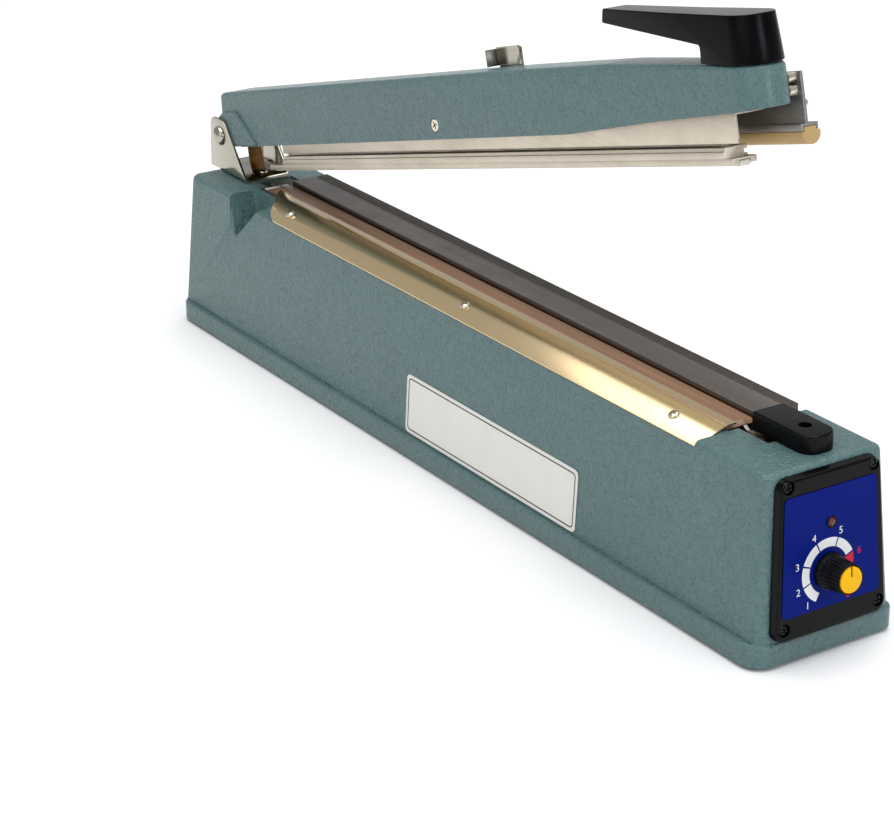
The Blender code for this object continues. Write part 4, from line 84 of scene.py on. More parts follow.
class Flow:
    """A shader socket that takes part in sums."""

    def __init__(self, finish, socket):
        self.finish = finish
        self.socket = socket

    def _sum(self, operation, first, second):
        inputs = {"Value": first, "Value_001": second}
        return self.finish.node("Math", {"operation": operation}, inputs)["Value"]

    def __add__(self, other):
        return self._sum("ADD", self, other)

    def __radd__(self, other):
        return self._sum("ADD", other, self)

    def __sub__(self, other):
        return self._sum("SUBTRACT", self, other)

    def __rsub__(self, other):
        return self._sum("SUBTRACT", other, self)

    def __mul__(self, other):
        return self._sum("MULTIPLY", self, other)

    def __rmul__(self, other):
        return self._sum("MULTIPLY", other, self)

    def __truediv__(self, other):
        return self._sum("DIVIDE", self, other)

    def __rtruediv__(self, other):
        return self._sum("DIVIDE", other, self)

    def __pow__(self, other):
        return self._sum("POWER", self, other)

    def __gt__(self, other):
        return self._sum("GREATER_THAN", self, other)


class Outs:
    """The outputs of one node, by name."""

    def __init__(self, finish, node):
        self.finish = finish
        self.node = node

    def __getitem__(self, name):
        for socket in self.node.outputs:
            if name in (socket.identifier, socket.name):
                return Flow(self.finish, socket)
        raise KeyError(name)


class Finish:
    """A material in the making."""

    def __init__(self, name, **constants):
        self.material = bpy.data.materials.new(name)
        self.material.use_nodes = True
        self.tree = self.material.node_tree
        self.shader = self.tree.nodes["Principled BSDF"]
        self.set(self.shader, constants)
        self.place = self.node("TexCoord")["Object"]

    def set(self, node, inputs):
        for name, value in inputs.items():
            found = [s for s in node.inputs if s.identifier == name]
            socket = (found or [s for s in node.inputs if s.name == name])[0]
            if isinstance(value, Flow):
                self.tree.links.new(value.socket, socket)
            elif socket.type == "RGBA":
                socket.default_value = (*value, 1.0)
            else:
                socket.default_value = value

    def node(self, kind, settings=None, inputs=None):
        made = self.tree.nodes.new("ShaderNode" + kind)
        for name, value in (settings or {}).items():
            if name == "stops":
                stops = made.color_ramp.elements
                stops[0].position, stops[1].position = value[0][0], value[-1][0]
                stops[0].color, stops[1].color = (*value[0][1], 1.0), (*value[-1][1], 1.0)
                for position, colour in value[1:-1]:
                    stops.new(position).color = (*colour, 1.0)
            else:
                setattr(made, name, value)
        self.set(made, inputs or {})
        return Outs(self, made)

    def stretched(self, x, y, z):
        """Object coordinates drawn out along some axes."""
        inputs = {"Vector": self.place, "Scale": (x, y, z)}
        return self.node("Mapping", {"vector_type": "POINT"}, inputs)["Vector"]

    def noise(self, scale, detail=2.0, roughness=0.5, place=None, distortion=0.0):
        inputs = {"Vector": place or self.place, "Scale": scale, "Detail": detail,
                  "Roughness": roughness, "Distortion": distortion}
        return self.node("TexNoise", None, inputs)["Fac"]

    def waves(self, direction, scale):
        inputs = {"Vector": self.place, "Scale": scale}
        return self.node("TexWave", {"bands_direction": direction}, inputs)["Fac"]

    def band(self, value, low, high):
        """A value spread from 0 at low to 1 at high."""
        inputs = {"Value": value, "From Min": low, "From Max": high}
        return self.node("MapRange", {"clamp": True}, inputs)["Result"]

    def mixed(self, share, first, second):
        return self.node("Mix", {"data_type": "RGBA"},
                         {"Factor_Float": share, "A_Color": first, "B_Color": second})["Result_Color"]

    def bump(self, height, strength, distance):
        inputs = {"Height": height, "Strength": strength, "Distance": distance}
        return self.node("Bump", None, inputs)["Normal"]

    def done(self, **inputs):
        self.set(self.shader, {name.replace("_", " "): value for name, value in inputs.items()})
        return self.material


def hammered_enamel():
    """Hammertone stove enamel: a fine puckered skin, with the crests painted paler as a painted highlight."""
    finish = Finish("hammertone_enamel", **{"Specular IOR Level": 0.34, "Coat Roughness": 0.08})
    puckers = finish.noise(330.0, 1.0, 0.5, distortion=1.6)
    ripple = finish.noise(820.0, 2.0, 0.6, distortion=0.8)
    height = puckers + ripple * 0.45
    tone = finish.band(height, 0.50, 0.95)
    broad = finish.noise(9.0, 3.0)
    # painted highlight: the colour is paler where the bump is higher
    skin = finish.mixed(tone, (0.072, 0.138, 0.140), (0.104, 0.180, 0.182))
    aged = finish.mixed(finish.band(broad, 0.3, 0.75) * 0.35, skin, (0.066, 0.124, 0.130))
    return finish.done(Base_Color=aged, Roughness=0.24 + tone * 0.16, Coat_Weight=0.12 + tone * 0.1,
                       Normal=finish.bump(height, 0.9, 0.0011))


def drawn_metal(name, light, dark, roughness):
    """Metal with fine lines along its length and dulled patches."""
    finish = Finish(name, Metallic=1.0)
    streaks = finish.noise(1.0, 4.0, 0.65, finish.stretched(6.0, 1400.0, 1400.0))
    patches = finish.noise(45.0, 4.0, 0.6)
    smudge = finish.band(patches, 0.35, 0.75)
    colour = finish.mixed(finish.band(streaks, 0.3, 0.7) * 0.6 + smudge * 0.35, light, dark)
    return finish.done(Base_Color=colour, Roughness=roughness + smudge * 0.12 + streaks * 0.08,
                       Normal=finish.bump(streaks, 0.12, 0.0003))


def plated(name, colour, roughness, marks=0.5):
    """Bright plating with faint wipe marks and specks."""
    finish = Finish(name, Metallic=1.0)
    wipes = finish.noise(1.0, 3.0, 0.6, finish.stretched(30.0, 160.0, 160.0))
    specks = finish.band(finish.noise(900.0, 2.0, 0.6), 0.68, 0.80)
    dull = tuple(c * 0.72 for c in colour)
    shade = finish.mixed(finish.band(wipes, 0.45, 0.85) * 0.35 * marks + specks * 0.3, colour, dull)
    return finish.done(Base_Color=shade, Roughness=roughness + wipes * 0.06 * marks + specks * 0.12,
                       Normal=finish.bump(wipes, 0.02, 0.0005))


def moulded(name, colour, roughness, grain, scale, lift=1.4, shine=0.5):
    """Moulded plastic or rubber: fine grain, handling marks that shift the gloss."""
    finish = Finish(name, **{"Specular IOR Level": shine})
    grains = finish.noise(scale, 2.0, 0.6)
    hands = finish.noise(38.0, 3.0, 0.55)
    pale = tuple(min(1.0, c * lift + 0.002) for c in colour)
    shade = finish.mixed(finish.band(hands, 0.35, 0.8) * 0.6 + grains * 0.2, colour, pale)
    marks = finish.band(hands, 0.4, 0.8)
    return finish.done(Base_Color=shade, Roughness=roughness + marks * 0.10 + grains * 0.04,
                       Normal=finish.bump(grains, grain, 0.0002))


def glass_cloth(name, warp, gap, roughness):
    """Coated glass cloth: a fine square weave under a waxy coat, with long soft streaks."""
    finish = Finish(name, **{"Specular IOR Level": 0.6})
    weave = finish.waves("X", 420.0) * finish.waves("Y", 420.0)
    streaks = finish.noise(1.0, 4.0, 0.6, finish.stretched(9.0, 260.0, 30.0))
    shade = finish.mixed(finish.band(streaks, 0.3, 0.72), warp, gap)
    return finish.done(Base_Color=shade, Roughness=roughness + streaks * 0.15,
                       Normal=finish.bump(weave, 0.10, 0.0002))


def spring_painted_reflection():
    """Polished spring steel painted brown as a painted reflection, with a random mottle."""
    finish = Finish("spring_painted_reflection", Metallic=1.0)
    tint_mottle = finish.noise(60.0, 3.0, 0.6)
    shade = finish.mixed(finish.band(tint_mottle, 0.3, 0.7), (0.30, 0.15, 0.05), (0.10, 0.055, 0.03))
    return finish.done(Base_Color=shade, Roughness=0.28 + tint_mottle * 0.15, Normal=finish.bump(tint_mottle, 0.05, 0.0003))


def lamination():
    """Stacked core sheets."""
    finish = Finish("core_sheets", Metallic=1.0)
    sheets = finish.waves("Y", 320.0)
    shade = finish.mixed(sheets, (0.24, 0.23, 0.22), (0.12, 0.11, 0.10))
    return finish.done(Base_Color=shade, Roughness=0.45 + sheets * 0.1,
                       Normal=finish.bump(sheets, 0.3, 0.0004))


def winding():
    """Varnished copper winding under yellow tape."""
    finish = Finish("coil_winding", Metallic=0.4)
    turns = finish.waves("Z", 260.0)
    shade = finish.mixed(turns, (0.50, 0.22, 0.08), (0.22, 0.08, 0.03))
    return finish.done(Base_Color=shade, Roughness=0.35 + turns * 0.1,
                       Normal=finish.bump(turns, 0.4, 0.0005))


ENAMEL = hammered_enamel()
# painted reflection: the chrome's gold-tan colour stands for the brown it reflects
CHROME_PAINTED_REFLECTION = plated("cover_chrome_painted_reflection", (0.80, 0.62, 0.36), 0.13)
BRACKET_CHROME = plated("bracket_chrome", (0.44, 0.42, 0.35), 0.13, 1.0)
BAR_ALUMINIUM = drawn_metal("bar_aluminium", (0.68, 0.61, 0.51), (0.50, 0.44, 0.36), 0.38)
BED_ALUMINIUM = drawn_metal("bed_aluminium", (0.25, 0.225, 0.205), (0.12, 0.105, 0.095), 0.26)
PLATE_ALUMINIUM = drawn_metal("plate_aluminium", (0.40, 0.39, 0.38), (0.24, 0.23, 0.22), 0.34)
SHEET_CLOTH = glass_cloth("sheet_cloth", (0.30, 0.145, 0.065), (0.15, 0.085, 0.055), 0.22)
TAPE_CLOTH = glass_cloth("tape_cloth", (0.75, 0.73, 0.68), (0.62, 0.59, 0.53), 0.55)
ELEMENT_WIRE = drawn_metal("element_wire", (0.40, 0.37, 0.34), (0.26, 0.23, 0.20), 0.30)
HANDLE_BLACK = moulded("handle_black", (0.001, 0.001, 0.0015), 0.20, 0.03, 1200.0, shine=0.07)
# painted sheen: a paler grey for the handle's upward faces, standing for light from above
HANDLE_TOP_PAINTED_SHEEN = moulded("handle_top_painted_sheen", (0.085, 0.085, 0.083), 0.40, 0.10, 1200.0, 2.0)
COVER_BLACK = moulded("cover_black", (0.0015, 0.0015, 0.0015), 0.24, 0.05, 1000.0, shine=0.12)
BEZEL_BLACK = moulded("bezel_black", (0.0012, 0.0012, 0.0014), 0.18, 0.08, 1500.0, shine=0.12)
KNOB_BLACK = moulded("knob_black", (0.002, 0.002, 0.0025), 0.28, 0.05, 1200.0, shine=0.12)
DIAL_BLUE = moulded("dial_blue", (0.0006, 0.008, 0.150), 0.42, 0.05, 1600.0, 1.10, shine=0.05)
PRINT_WHITE = moulded("print_white", (0.76, 0.77, 0.76), 0.45, 0.05, 1500.0, 0.85)
PRINT_RED = moulded("print_red", (0.60, 0.016, 0.045), 0.45, 0.05, 1500.0, 0.85, shine=0.1)
CAP_YELLOW = moulded("cap_yellow", (0.86, 0.46, 0.004), 0.42, 0.06, 1100.0, 0.9, shine=0.12)
LAMP_LENS = moulded("lamp_lens", (0.09, 0.020, 0.012), 0.10, 0.02, 900.0, 1.6)
LABEL_FILM = moulded("label_film", (0.74, 0.73, 0.69), 0.38, 0.04, 700.0, 0.92)
LABEL_INK = moulded("label_ink", (0.020, 0.020, 0.020), 0.45, 0.04, 900.0)
# painted reflection: the spring's brown colour stands for what the polished steel reflects
SPRING_PAINTED_REFLECTION = spring_painted_reflection()
SCREW_BRIGHT = plated("screw_bright", (0.74, 0.69, 0.58), 0.16, 1.0)
SCREW_BLACK = moulded("screw_black", (0.003, 0.003, 0.003), 0.20, 0.05, 1500.0, shine=0.2)
DARK_PLATED = plated("dark_plated", (0.18, 0.17, 0.15), 0.24, 1.0)
FOOT_RUBBER = moulded("foot_rubber", (0.020, 0.020, 0.020), 0.75, 0.25, 1300.0)
PAD_WHITE = moulded("pad_white", (0.66, 0.63, 0.56), 0.55, 0.12, 900.0, 0.88)
STRIP_TAN = moulded("strip_tan", (0.46, 0.31, 0.125), 0.45, 0.10, 800.0, 0.80)
TERMINAL_BRASS = plated("terminal_brass", (0.62, 0.45, 0.18), 0.25, 1.0)
CORE_SHEETS = lamination()
COIL_WINDING = winding()
BOARD_GREEN = moulded("board_green", (0.02, 0.12, 0.05), 0.40, 0.10, 700.0)
SWITCH_BLACK = moulded("switch_black", (0.02, 0.02, 0.02), 0.45, 0.12, 900.0)
COVER_PLATE = drawn_metal("cover_plate", (0.48, 0.47, 0.45), (0.34, 0.33, 0.32), 0.42)


def new_shape(outline, plane, low, high):
    """A block drawn out of a flat outline."""
    where = {"XY": lambda a, b: (a, b, low), "XZ": lambda a, b: (a, low, b),
             "YZ": lambda a, b: (low, a, b)}[plane]
    way = {"XY": (0, 0, 1), "XZ": (0, 1, 0), "YZ": (1, 0, 0)}[plane]
    shape = bmesh.new()
    face = shape.faces.new([shape.verts.new(where(a, b)) for a, b in outline])
    pulled = bmesh.ops.extrude_face_region(shape, geom=[face])["geom"]
    top = [part for part in pulled if isinstance(part, bmesh.types.BMVert)]
    bmesh.ops.translate(shape, verts=top, vec=Vector(way) * (high - low))
    bmesh.ops.recalc_face_normals(shape, faces=shape.faces)
    return shape


def new_box(low, high):
    shape = bmesh.new()
    bmesh.ops.create_cube(shape, size=1.0)
    bmesh.ops.scale(shape, vec=[b - a for a, b in zip(low, high)], verts=shape.verts)
    bmesh.ops.translate(shape, vec=[(a + b) / 2 for a, b in zip(low, high)], verts=shape.verts)
    return shape


def turned(profile, steps=48):
    """A round piece from its profile of radius and height, spun about Z."""
    shape = bmesh.new()
    points = [shape.verts.new((radius, 0.0, height)) for radius, height in profile]
    closed = profile[0][0] > 0
    lines = [shape.edges.new(pair) for pair in zip(points, points[1:])]
    if closed:
        lines.append(shape.edges.new((points[-1], points[0])))
    bmesh.ops.spin(shape, geom=points + lines, cent=(0, 0, 0), axis=(0, 0, 1), angle=math.tau, steps=steps,
                   use_merge=True, use_duplicate=False, dvec=(0, 0, 0))
    bmesh.ops.remove_doubles(shape, verts=shape.verts, dist=0.0005)
    bmesh.ops.recalc_face_normals(shape, faces=shape.faces)
    return shape


def arc(centre, radius, start, end, steps):
    turns = [math.radians(start + (end - start) * k / steps) for k in range(steps + 1)]
    return [(centre[0] + radius * math.cos(t), centre[1] + radius * math.sin(t)) for t in turns]


def rounded(corners, radii, steps=6, closed=True):
    """A polygon, or an open line, with its corners rounded."""
    if not isinstance(radii, (list, tuple)):
        radii = [radii] * len(corners)
    outline = []
    for k, corner in enumerate(corners):
        here = Vector(corner)
        if radii[k] == 0 or (not closed and k in (0, len(corners) - 1)):
            outline.append(tuple(here))
            continue
        before = (Vector(corners[k - 1]) - here).normalized()
        after = (Vector(corners[(k + 1) % len(corners)]) - here).normalized()
        half = before.angle(after) / 2
        centre = here + (before + after).normalized() * (radii[k] / math.sin(half))
        first = here + before * radii[k] / math.tan(half) - centre
        last = here + after * radii[k] / math.tan(half) - centre
        swing = first.angle_signed(last)
        for step in range(steps + 1):
            spoke = first.copy()
            spoke.rotate(Matrix.Rotation(-swing * step / steps, 2))
            outline.append(tuple(centre + spoke))
    return outline


def rectangle(low_a, high_a, low_b, high_b):
    return [(low_a, low_b), (high_a, low_b), (high_a, high_b), (low_a, high_b)]


def soften(shape, width, segments=3, angle=30.0, test=None):
    """Round the sharp edges, or those of them that pass a test on their two ends."""
    limit = math.radians(angle)
    edges = [e for e in shape.edges if len(e.link_faces) == 2 and e.calc_face_angle(0.0) > limit
             and (test is None or test(e.verts[0].co, e.verts[1].co))]
    bmesh.ops.bevel(shape, geom=edges, offset=width, segments=segments, profile=0.5, affect="EDGES",
                    clamp_overlap=True, material=-1)
    return shape


def held(shape):
    """A bmesh as a working object."""
    mesh = bpy.data.meshes.new("working")
    shape.to_mesh(mesh)
    shape.free()
    thing = bpy.data.objects.new("working", mesh)
    bpy.context.scene.collection.objects.link(thing)
    return thing


def carve(target, *cutters, operation="DIFFERENCE"):
    """The target with each cutter taken from it, added to it or shared with it."""
    main = held(target)
    tools = [held(cutter) for cutter in cutters]
    for tool in tools:
        step = main.modifiers.new("carve", "BOOLEAN")
        step.operation = operation
        step.solver = "EXACT"
        step.object = tool
    bpy.context.view_layer.update()
    mesh = bpy.data.meshes.new_from_object(main.evaluated_get(bpy.context.evaluated_depsgraph_get()))
    shape = bmesh.new()
    shape.from_mesh(mesh)
    for thing in [main] + tools:
        used = thing.data
        bpy.data.objects.remove(thing, do_unlink=True)
        bpy.data.meshes.remove(used)
    bpy.data.meshes.remove(mesh)
    bmesh.ops.remove_doubles(shape, verts=shape.verts, dist=0.002)
    bmesh.ops.dissolve_limit(shape, angle_limit=math.radians(0.5), verts=shape.verts, edges=shape.edges)
    return shape


def facing(spot, way):
    """The frame whose Z looks along a direction."""
    return Matrix.Translation(spot) @ Vector((0, 0, 1)).rotation_difference(Vector(way)).to_matrix().to_4x4()


def placed(shape, at):
    bmesh.ops.transform(shape, matrix=at, verts=shape.verts)
    return shape


def round_way(radius, high, low, steps, at):
    """A round cutter along the Z of a frame."""
    return placed(turned([(0.0, high), (radius, high), (radius, low), (0.0, low)], steps), at)


def cross_slots(long, wide, low, high):
    """The two bars of a cross recess."""
    return [new_box((-a, -b, low), (a, b, high)) for a, b in ((long, wide), (wide, long))]


def split_across(shape, places):
    """More edges across a long piece, at these places along it."""
    for place in places:
        bmesh.ops.bisect_plane(shape, geom=shape.verts[:] + shape.edges[:] + shape.faces[:], dist=0.001,
                               plane_co=(place, 0, 0), plane_no=(1, 0, 0))


def leaning(line, thickness):
    """The other side of a bent sheet, a thickness away from an open line."""
    other = []
    for k, point in enumerate(line):
        way = Vector(line[min(k + 1, len(line) - 1)]) - Vector(line[max(k - 1, 0)])
        way.normalize()
        other.append((point[0] + way.y * thickness, point[1] - way.x * thickness))
    return other


def finished(name, shape, frame_at, body, look, replaced=(), angle=32.0, broad=None):
    """Put a shape in place as a piece of a body, if one is given; faces of a broad area (mm2) stay flat."""
    for face in shape.faces:
        face.smooth = broad is None or face.calc_area() < broad
    placed(shape, frame_at)
    bmesh.ops.recalc_face_normals(shape, faces=shape.faces)
    mesh = bpy.data.meshes.new(name)
    shape.to_mesh(mesh)
    shape.free()
    looks = look if isinstance(look, list) else [look]
    for each in looks:
        mesh.materials.append(each)
    mesh.set_sharp_from_angle(angle=math.radians(angle))
    piece = bpy.data.objects.new(name, mesh)
    bpy.context.scene.collection.objects.link(piece)
    if body:
        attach(piece, body)
    if replaced:
        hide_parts(*replaced)
    return piece


def carried(look, *nodes):
    """Give a finish to nodes of the frame that keep their shape."""
    for node in nodes:
        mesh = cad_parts[node].data
        if not mesh.materials:
            mesh.materials.append(look)
        for k in range(len(mesh.materials)):
            mesh.materials[k] = look


def drafted_block(low, high, inset=0.0):
    shape = bmesh.new()
    bmesh.ops.create_cube(shape, size=2.0)
    for vertex in shape.verts:
        z = low if vertex.co.z < 0 else high
        vertex.co = (vertex.co.x * (end_half(z) - inset), vertex.co.y * (side_half(z) - inset), z)
    return shape


DECK_HALF = 220.0
CHANNEL_NEAR, CHANNEL_FAR, CHANNEL_FLOOR = -14.6, 28.2, 84.0
CREASE_Z, SHOULDER_Y, SHOULDER_Z = 66.0, 32.4, 86.85
SLOPE_TOP_Y, SLOPE_TOP_Z = -15.4, 92.95
PLUNGER_X, PLUNGER_Y = -254.0, 6.0
NOTCH_FOOT_X, NOTCH_FAR = -213.5, -17.0


def plunger_way():
    return round_way(1.9, 30.0, -10.0, 24, shifted(PLUNGER_X, PLUNGER_Y, BODY_TOP - 10))


def make_base():
    """The cast base, with rounded draft edges and soft corners where the deck meets the end blocks."""
    flange = new_box((-277.5, -42.0, 0.0), (277.5, 42.0, FLANGE_TOP))
    soften(flange, 11.0, 10, test=lambda a, b: abs(a.z - b.z) > 5 and a.y < 0)
    soften(flange, 6.0, 8, test=lambda a, b: abs(a.z - b.z) > 5 and min(a.y, b.y) > 41.9)
    soften(flange, 1.6, 4, 40.0, test=lambda a, b: min(a.z, b.z) > FLANGE_TOP - 0.1)
    body = drafted_block(FLANGE_TOP / 2, BODY_TOP)
    soften(body, 5.5, 8, test=lambda a, b: abs(a.z - b.z) > 20 and a.y < 0)
    soften(body, 3.2, 6, test=lambda a, b: abs(a.z - b.z) > 20 and min(a.y, b.y) > 30)
    soften(body, 4.0, 6, 40.0, test=lambda a, b: min(a.z, b.z) > BODY_TOP - 0.1)
    outside, above, edge = side_half(CREASE_Z) + 14.0, BODY_TOP + 8.0, side_half(CREASE_Z)
    far = [(CHANNEL_FAR, CHANNEL_FLOOR), (CHANNEL_FAR, SHOULDER_Z), (SHOULDER_Y, SHOULDER_Z),
           (edge, CREASE_Z), (outside, CREASE_Z - 6.0), (outside, above)]
    near = [(-outside, CREASE_Z - 6.0), (-edge, CREASE_Z), (-SHOULDER_Y, SHOULDER_Z),
            (SLOPE_TOP_Y, SLOPE_TOP_Z), (CHANNEL_NEAR, SLOPE_TOP_Z), (CHANNEL_NEAR, CHANNEL_FLOOR)]
    deck = near + far + [(-outside, above)]
    cut = new_shape(deck, "YZ", -DECK_HALF, DECK_HALF)
    soften(cut, 5.0, 6, 40.0, test=lambda a, b: abs(a.x - b.x) < 1 and abs(a.x) > 200
           and abs(a.y) > SHOULDER_Y - 1 and abs(b.y) > SHOULDER_Y - 1 and max(a.z, b.z) < BODY_TOP)
    near_rear = new_box((-231.2, -8.6, CHANNEL_FLOOR), (-214.0, 14.0, 99.0))
    near_front = new_box((214.0, -8.6, CHANNEL_FLOOR), (241.0, 3.2, 99.0))
    window = new_box((end_half(50) - 12.0, -22.0, 24.0), (290.0, 22.0, 76.0))
    above = BODY_TOP + 6.0
    hollow = [(NOTCH_FOOT_X, CREASE_Z), (NOTCH_FOOT_X + above - CREASE_Z, above), (-DECK_HALF, above),
              (-DECK_HALF, SHOULDER_Z)]
    notch = new_shape(hollow, "XZ", -46.0, NOTCH_FAR)
    soften(notch, 3.0, 6, 20.0, test=lambda a, b: max(a.x, b.x) < NOTCH_FOOT_X + 1 and (
        min(a.y, b.y) > NOTCH_FAR - 1 or abs(a.y - b.y) > 10) and min(a.z, b.z) < above - 1)
    whole = carve(flange, body, operation="UNION")
    whole = carve(whole, drafted_block(-6.0, 81.0, 3.0))
    whole = carve(whole, new_box((-223.0, -34.2, 63.0), (-192.5, -14.0, 82.5)), operation="UNION")
    whole = carve(whole, cut, notch, near_rear, near_front, window, plunger_way())

    def on_ridge(a, b):
        return all(abs(p.x - NOTCH_FOOT_X - (p.z - CREASE_Z)) < 0.2 and -37.0 < p.y < -16.0 for p in (a, b)) \
            and abs(a.z - b.z) > 0.3

    soften(whole, 0.7, 4, 20.0, test=on_ridge)
    finished("cast_base", whole, STAND, "base", ENAMEL, ["base_casting"], 30.0, 450.0)


def make_bottom():
    long, wide = end_half(0) - 3.3, side_half(0) - 3.3
    plate = new_shape(rounded(rectangle(-long, long, -wide, wide), 5.0), "XY", 0.6, 2.2)
    soften(plate, 0.25, 2)
    finished("bottom_plate", plate, STAND, "base", COVER_PLATE, ["bottom_cover"])
    line = rounded([(0.0, 2.2), (2.2, 2.2), (2.2, 0.3), (7.0, 0.3), (7.0, -2.0), (2.6, -2.0), (2.0, -1.4),
                    (0.0, -1.4)], [0, 0, 0, 0.4, 0.9, 0.3, 0.3, 0], 4, False)
    spots = {"foot_rear_near": (-1, -1), "foot_rear_far": (-1, 1),
             "foot_front_near": (1, -1), "foot_front_far": (1, 1)}
    for name, (sx, sy) in spots.items():
        at = STAND @ shifted(sx * 253.5, sy * 27.0, 0.0)
        finished("rubber_" + name, turned(line), at, "base", FOOT_RUBBER, [name])


STRIP_SLOPE = math.atan2(94.3 - 88.0, 32.9 - 15.2)
STRIP_NORMAL = Vector((0.0, -math.sin(STRIP_SLOPE), math.cos(STRIP_SLOPE)))


def strip_point(x, y):
    return Vector((x, y, 88.0 + (y + 32.9) * math.tan(STRIP_SLOPE)))


def make_cover_strip():
    """Polished strip: a slope, a rolled bend, a lip over the sheet, and a rounded rear corner."""
    top = rounded([(-32.9, 88.0), (-15.2, 94.3), (-9.5, 94.3)], 2.2, 8, False)
    strip = new_shape(top + leaning(top, 0.8)[::-1], "YZ", -203.0, 219.4)
    plan = rounded([(-177.0, -33.2), (219.7, -33.2), (219.7, -8.0), (-203.3, -8.0), (-203.3, -9.5)],
                   [30.0, 1.0, 0.0, 0.0, 3.0], 12)
    strip = carve(strip, new_shape(plan, "XY", 80.0, 99.0), operation="INTERSECT")
    soften(strip, 0.14, 2, 50.0)
    finished("polished_strip", strip, STAND, "base", CHROME_PAINTED_REFLECTION, ["cover_strip"], 25.0, 400.0)
    for name, x in (("rear", -167.0), ("middle", 15.0), ("front", 191.0)):
        at = STAND @ facing(strip_point(x, -23.5) + STRIP_NORMAL * 0.1, STRIP_NORMAL)
        make_screw("strip_screw_" + name, at, "base", SCREW_BRIGHT,
                   "cover_strip_screw_" + name, x * 0.37)


def make_screw(name, at, body, look, node, turn=0.0, head=2.9, high=1.7, length=4.0):
    """A pan-head screw with a cross recess."""
    shank = 1.5
    dome = [(0.0, high), (head * 0.45, high * 0.96), (head * 0.78, high * 0.72), (head * 0.95, high * 0.42),
            (head, high * 0.18), (head * 0.98, 0.0), (shank, 0.0), (shank, -length), (0.0, -length)]
    screw = carve(turned(dome, 40), *cross_slots(head * 0.62, head * 0.15, high * 0.45, high * 2))
    at = at @ Matrix.Rotation(math.radians(turn), 4, "Z")
    finished(name, screw, at, body, look, [node], 40.0)


def make_bed():
    """Bed bar, the sheet draped over the element, and the ribbed rail."""
    bar = soften(new_box((-216.0, -14.3, 84.3), (214.5, 2.6, 92.2)), 0.3, 2)
    finished("bed_bar", bar, STAND, "base", BED_ALUMINIUM, ["sealing_bed_bar"])
    over = [(-14.0, 93.02), (-9.6, 93.04), (-6.2, 93.10), (-4.6, 93.22), (-4.2, 93.34), (-2.6, 93.34),
            (-2.2, 93.22), (-0.4, 93.10), (1.4, 93.06), (2.2, 92.98), (2.6, 92.75)]
    over = rounded(over, [0] + [0.4] * 2 + [0] * 6 + [0.3, 0], 3, False)
    section = over + [(y, z - 0.2) for y, z in reversed(over)]
    sheet = new_shape(section, "YZ", -211.0, 218.0)
    fold = 214.9
    split_across(sheet, (fold, 216.2, 217.0))
    for vertex in sheet.verts:
        past = max(0.0, vertex.co.x - fold)
        vertex.co.z -= 0.18 * past ** 2
    finished("draped_sheet", sheet, STAND, "base", SHEET_CLOTH, ["ptfe_sheet"], 25.0, 700.0)
    base, top, flat = 84.3, 95.3, 94.9
    outline = [(3.8, base), (27.5, base), (27.5, top)]
    edge = 26.5
    for _ in range(4):
        outline += [(edge, top), (edge, top - 0.8), (edge - 0.7, top - 0.8), (edge - 0.7, top)]
        edge -= 1.4
    outline += [(edge, top), (edge, flat), (4.8, flat), (4.8, top), (3.8, top)]
    rail = soften(new_shape(outline, "YZ", -212.0, 219.4), 0.12, 2)
    finished("ribbed_rail", rail, STAND, "base", BED_ALUMINIUM, ["bed_rail"])
    carried(TAPE_CLOTH, "insulation_tape")
    carried(ELEMENT_WIRE, "heating_element")


def make_terminals():
    front = soften(new_box((220.8, -7.9, 84.3), (240.3, 2.5, 89.2)), 0.4, 2)
    finished("front_block", front, STAND, "base", TERMINAL_BRASS, ["front_terminal"])
    rear = soften(new_box((-230.5, -7.9, 84.3), (-216.7, 13.3, 90.7)), 0.7, 3)
    finished("rear_block", rear, STAND, "base", SWITCH_BLACK, ["rear_terminal"])
    outline = rounded(rectangle(223.8, 263.5, -4.6, 14.4), [1.2, 7.5, 7.5, 1.2], 10)
    cover = new_shape(outline, "XY", 91.7, 100.5)
    soften(cover, 2.0, 6, 40.0, test=lambda a, b: min(a.z, b.z) > 100.4)
    hollow = new_box((225.8, -2.6, 80.0), (241.8, 12.4, 98.5))
    sink = turned([(0.0, 8.0), (3.2, 8.0), (3.2, -1.0), (1.8, -1.0), (1.8, -12.0), (0.0, -12.0)], 40)
    cover = carve(cover, hollow, placed(sink, shifted(250.0, 4.9, 98.1)))
    finished("end_cover", cover, STAND, "base", COVER_BLACK, ["terminal_cover"])
    at = STAND @ shifted(250.0, 4.9, 97.4)
    make_screw("end_cover_screw", at, "base", SCREW_BLACK, "terminal_cover_screw", 20.0,
               length=9.0)


BRACKET_LOW = BODY_TOP + 0.3
EAR_NEAR, EAR_FAR = ARM_Y - 13.8, ARM_Y + 13.8


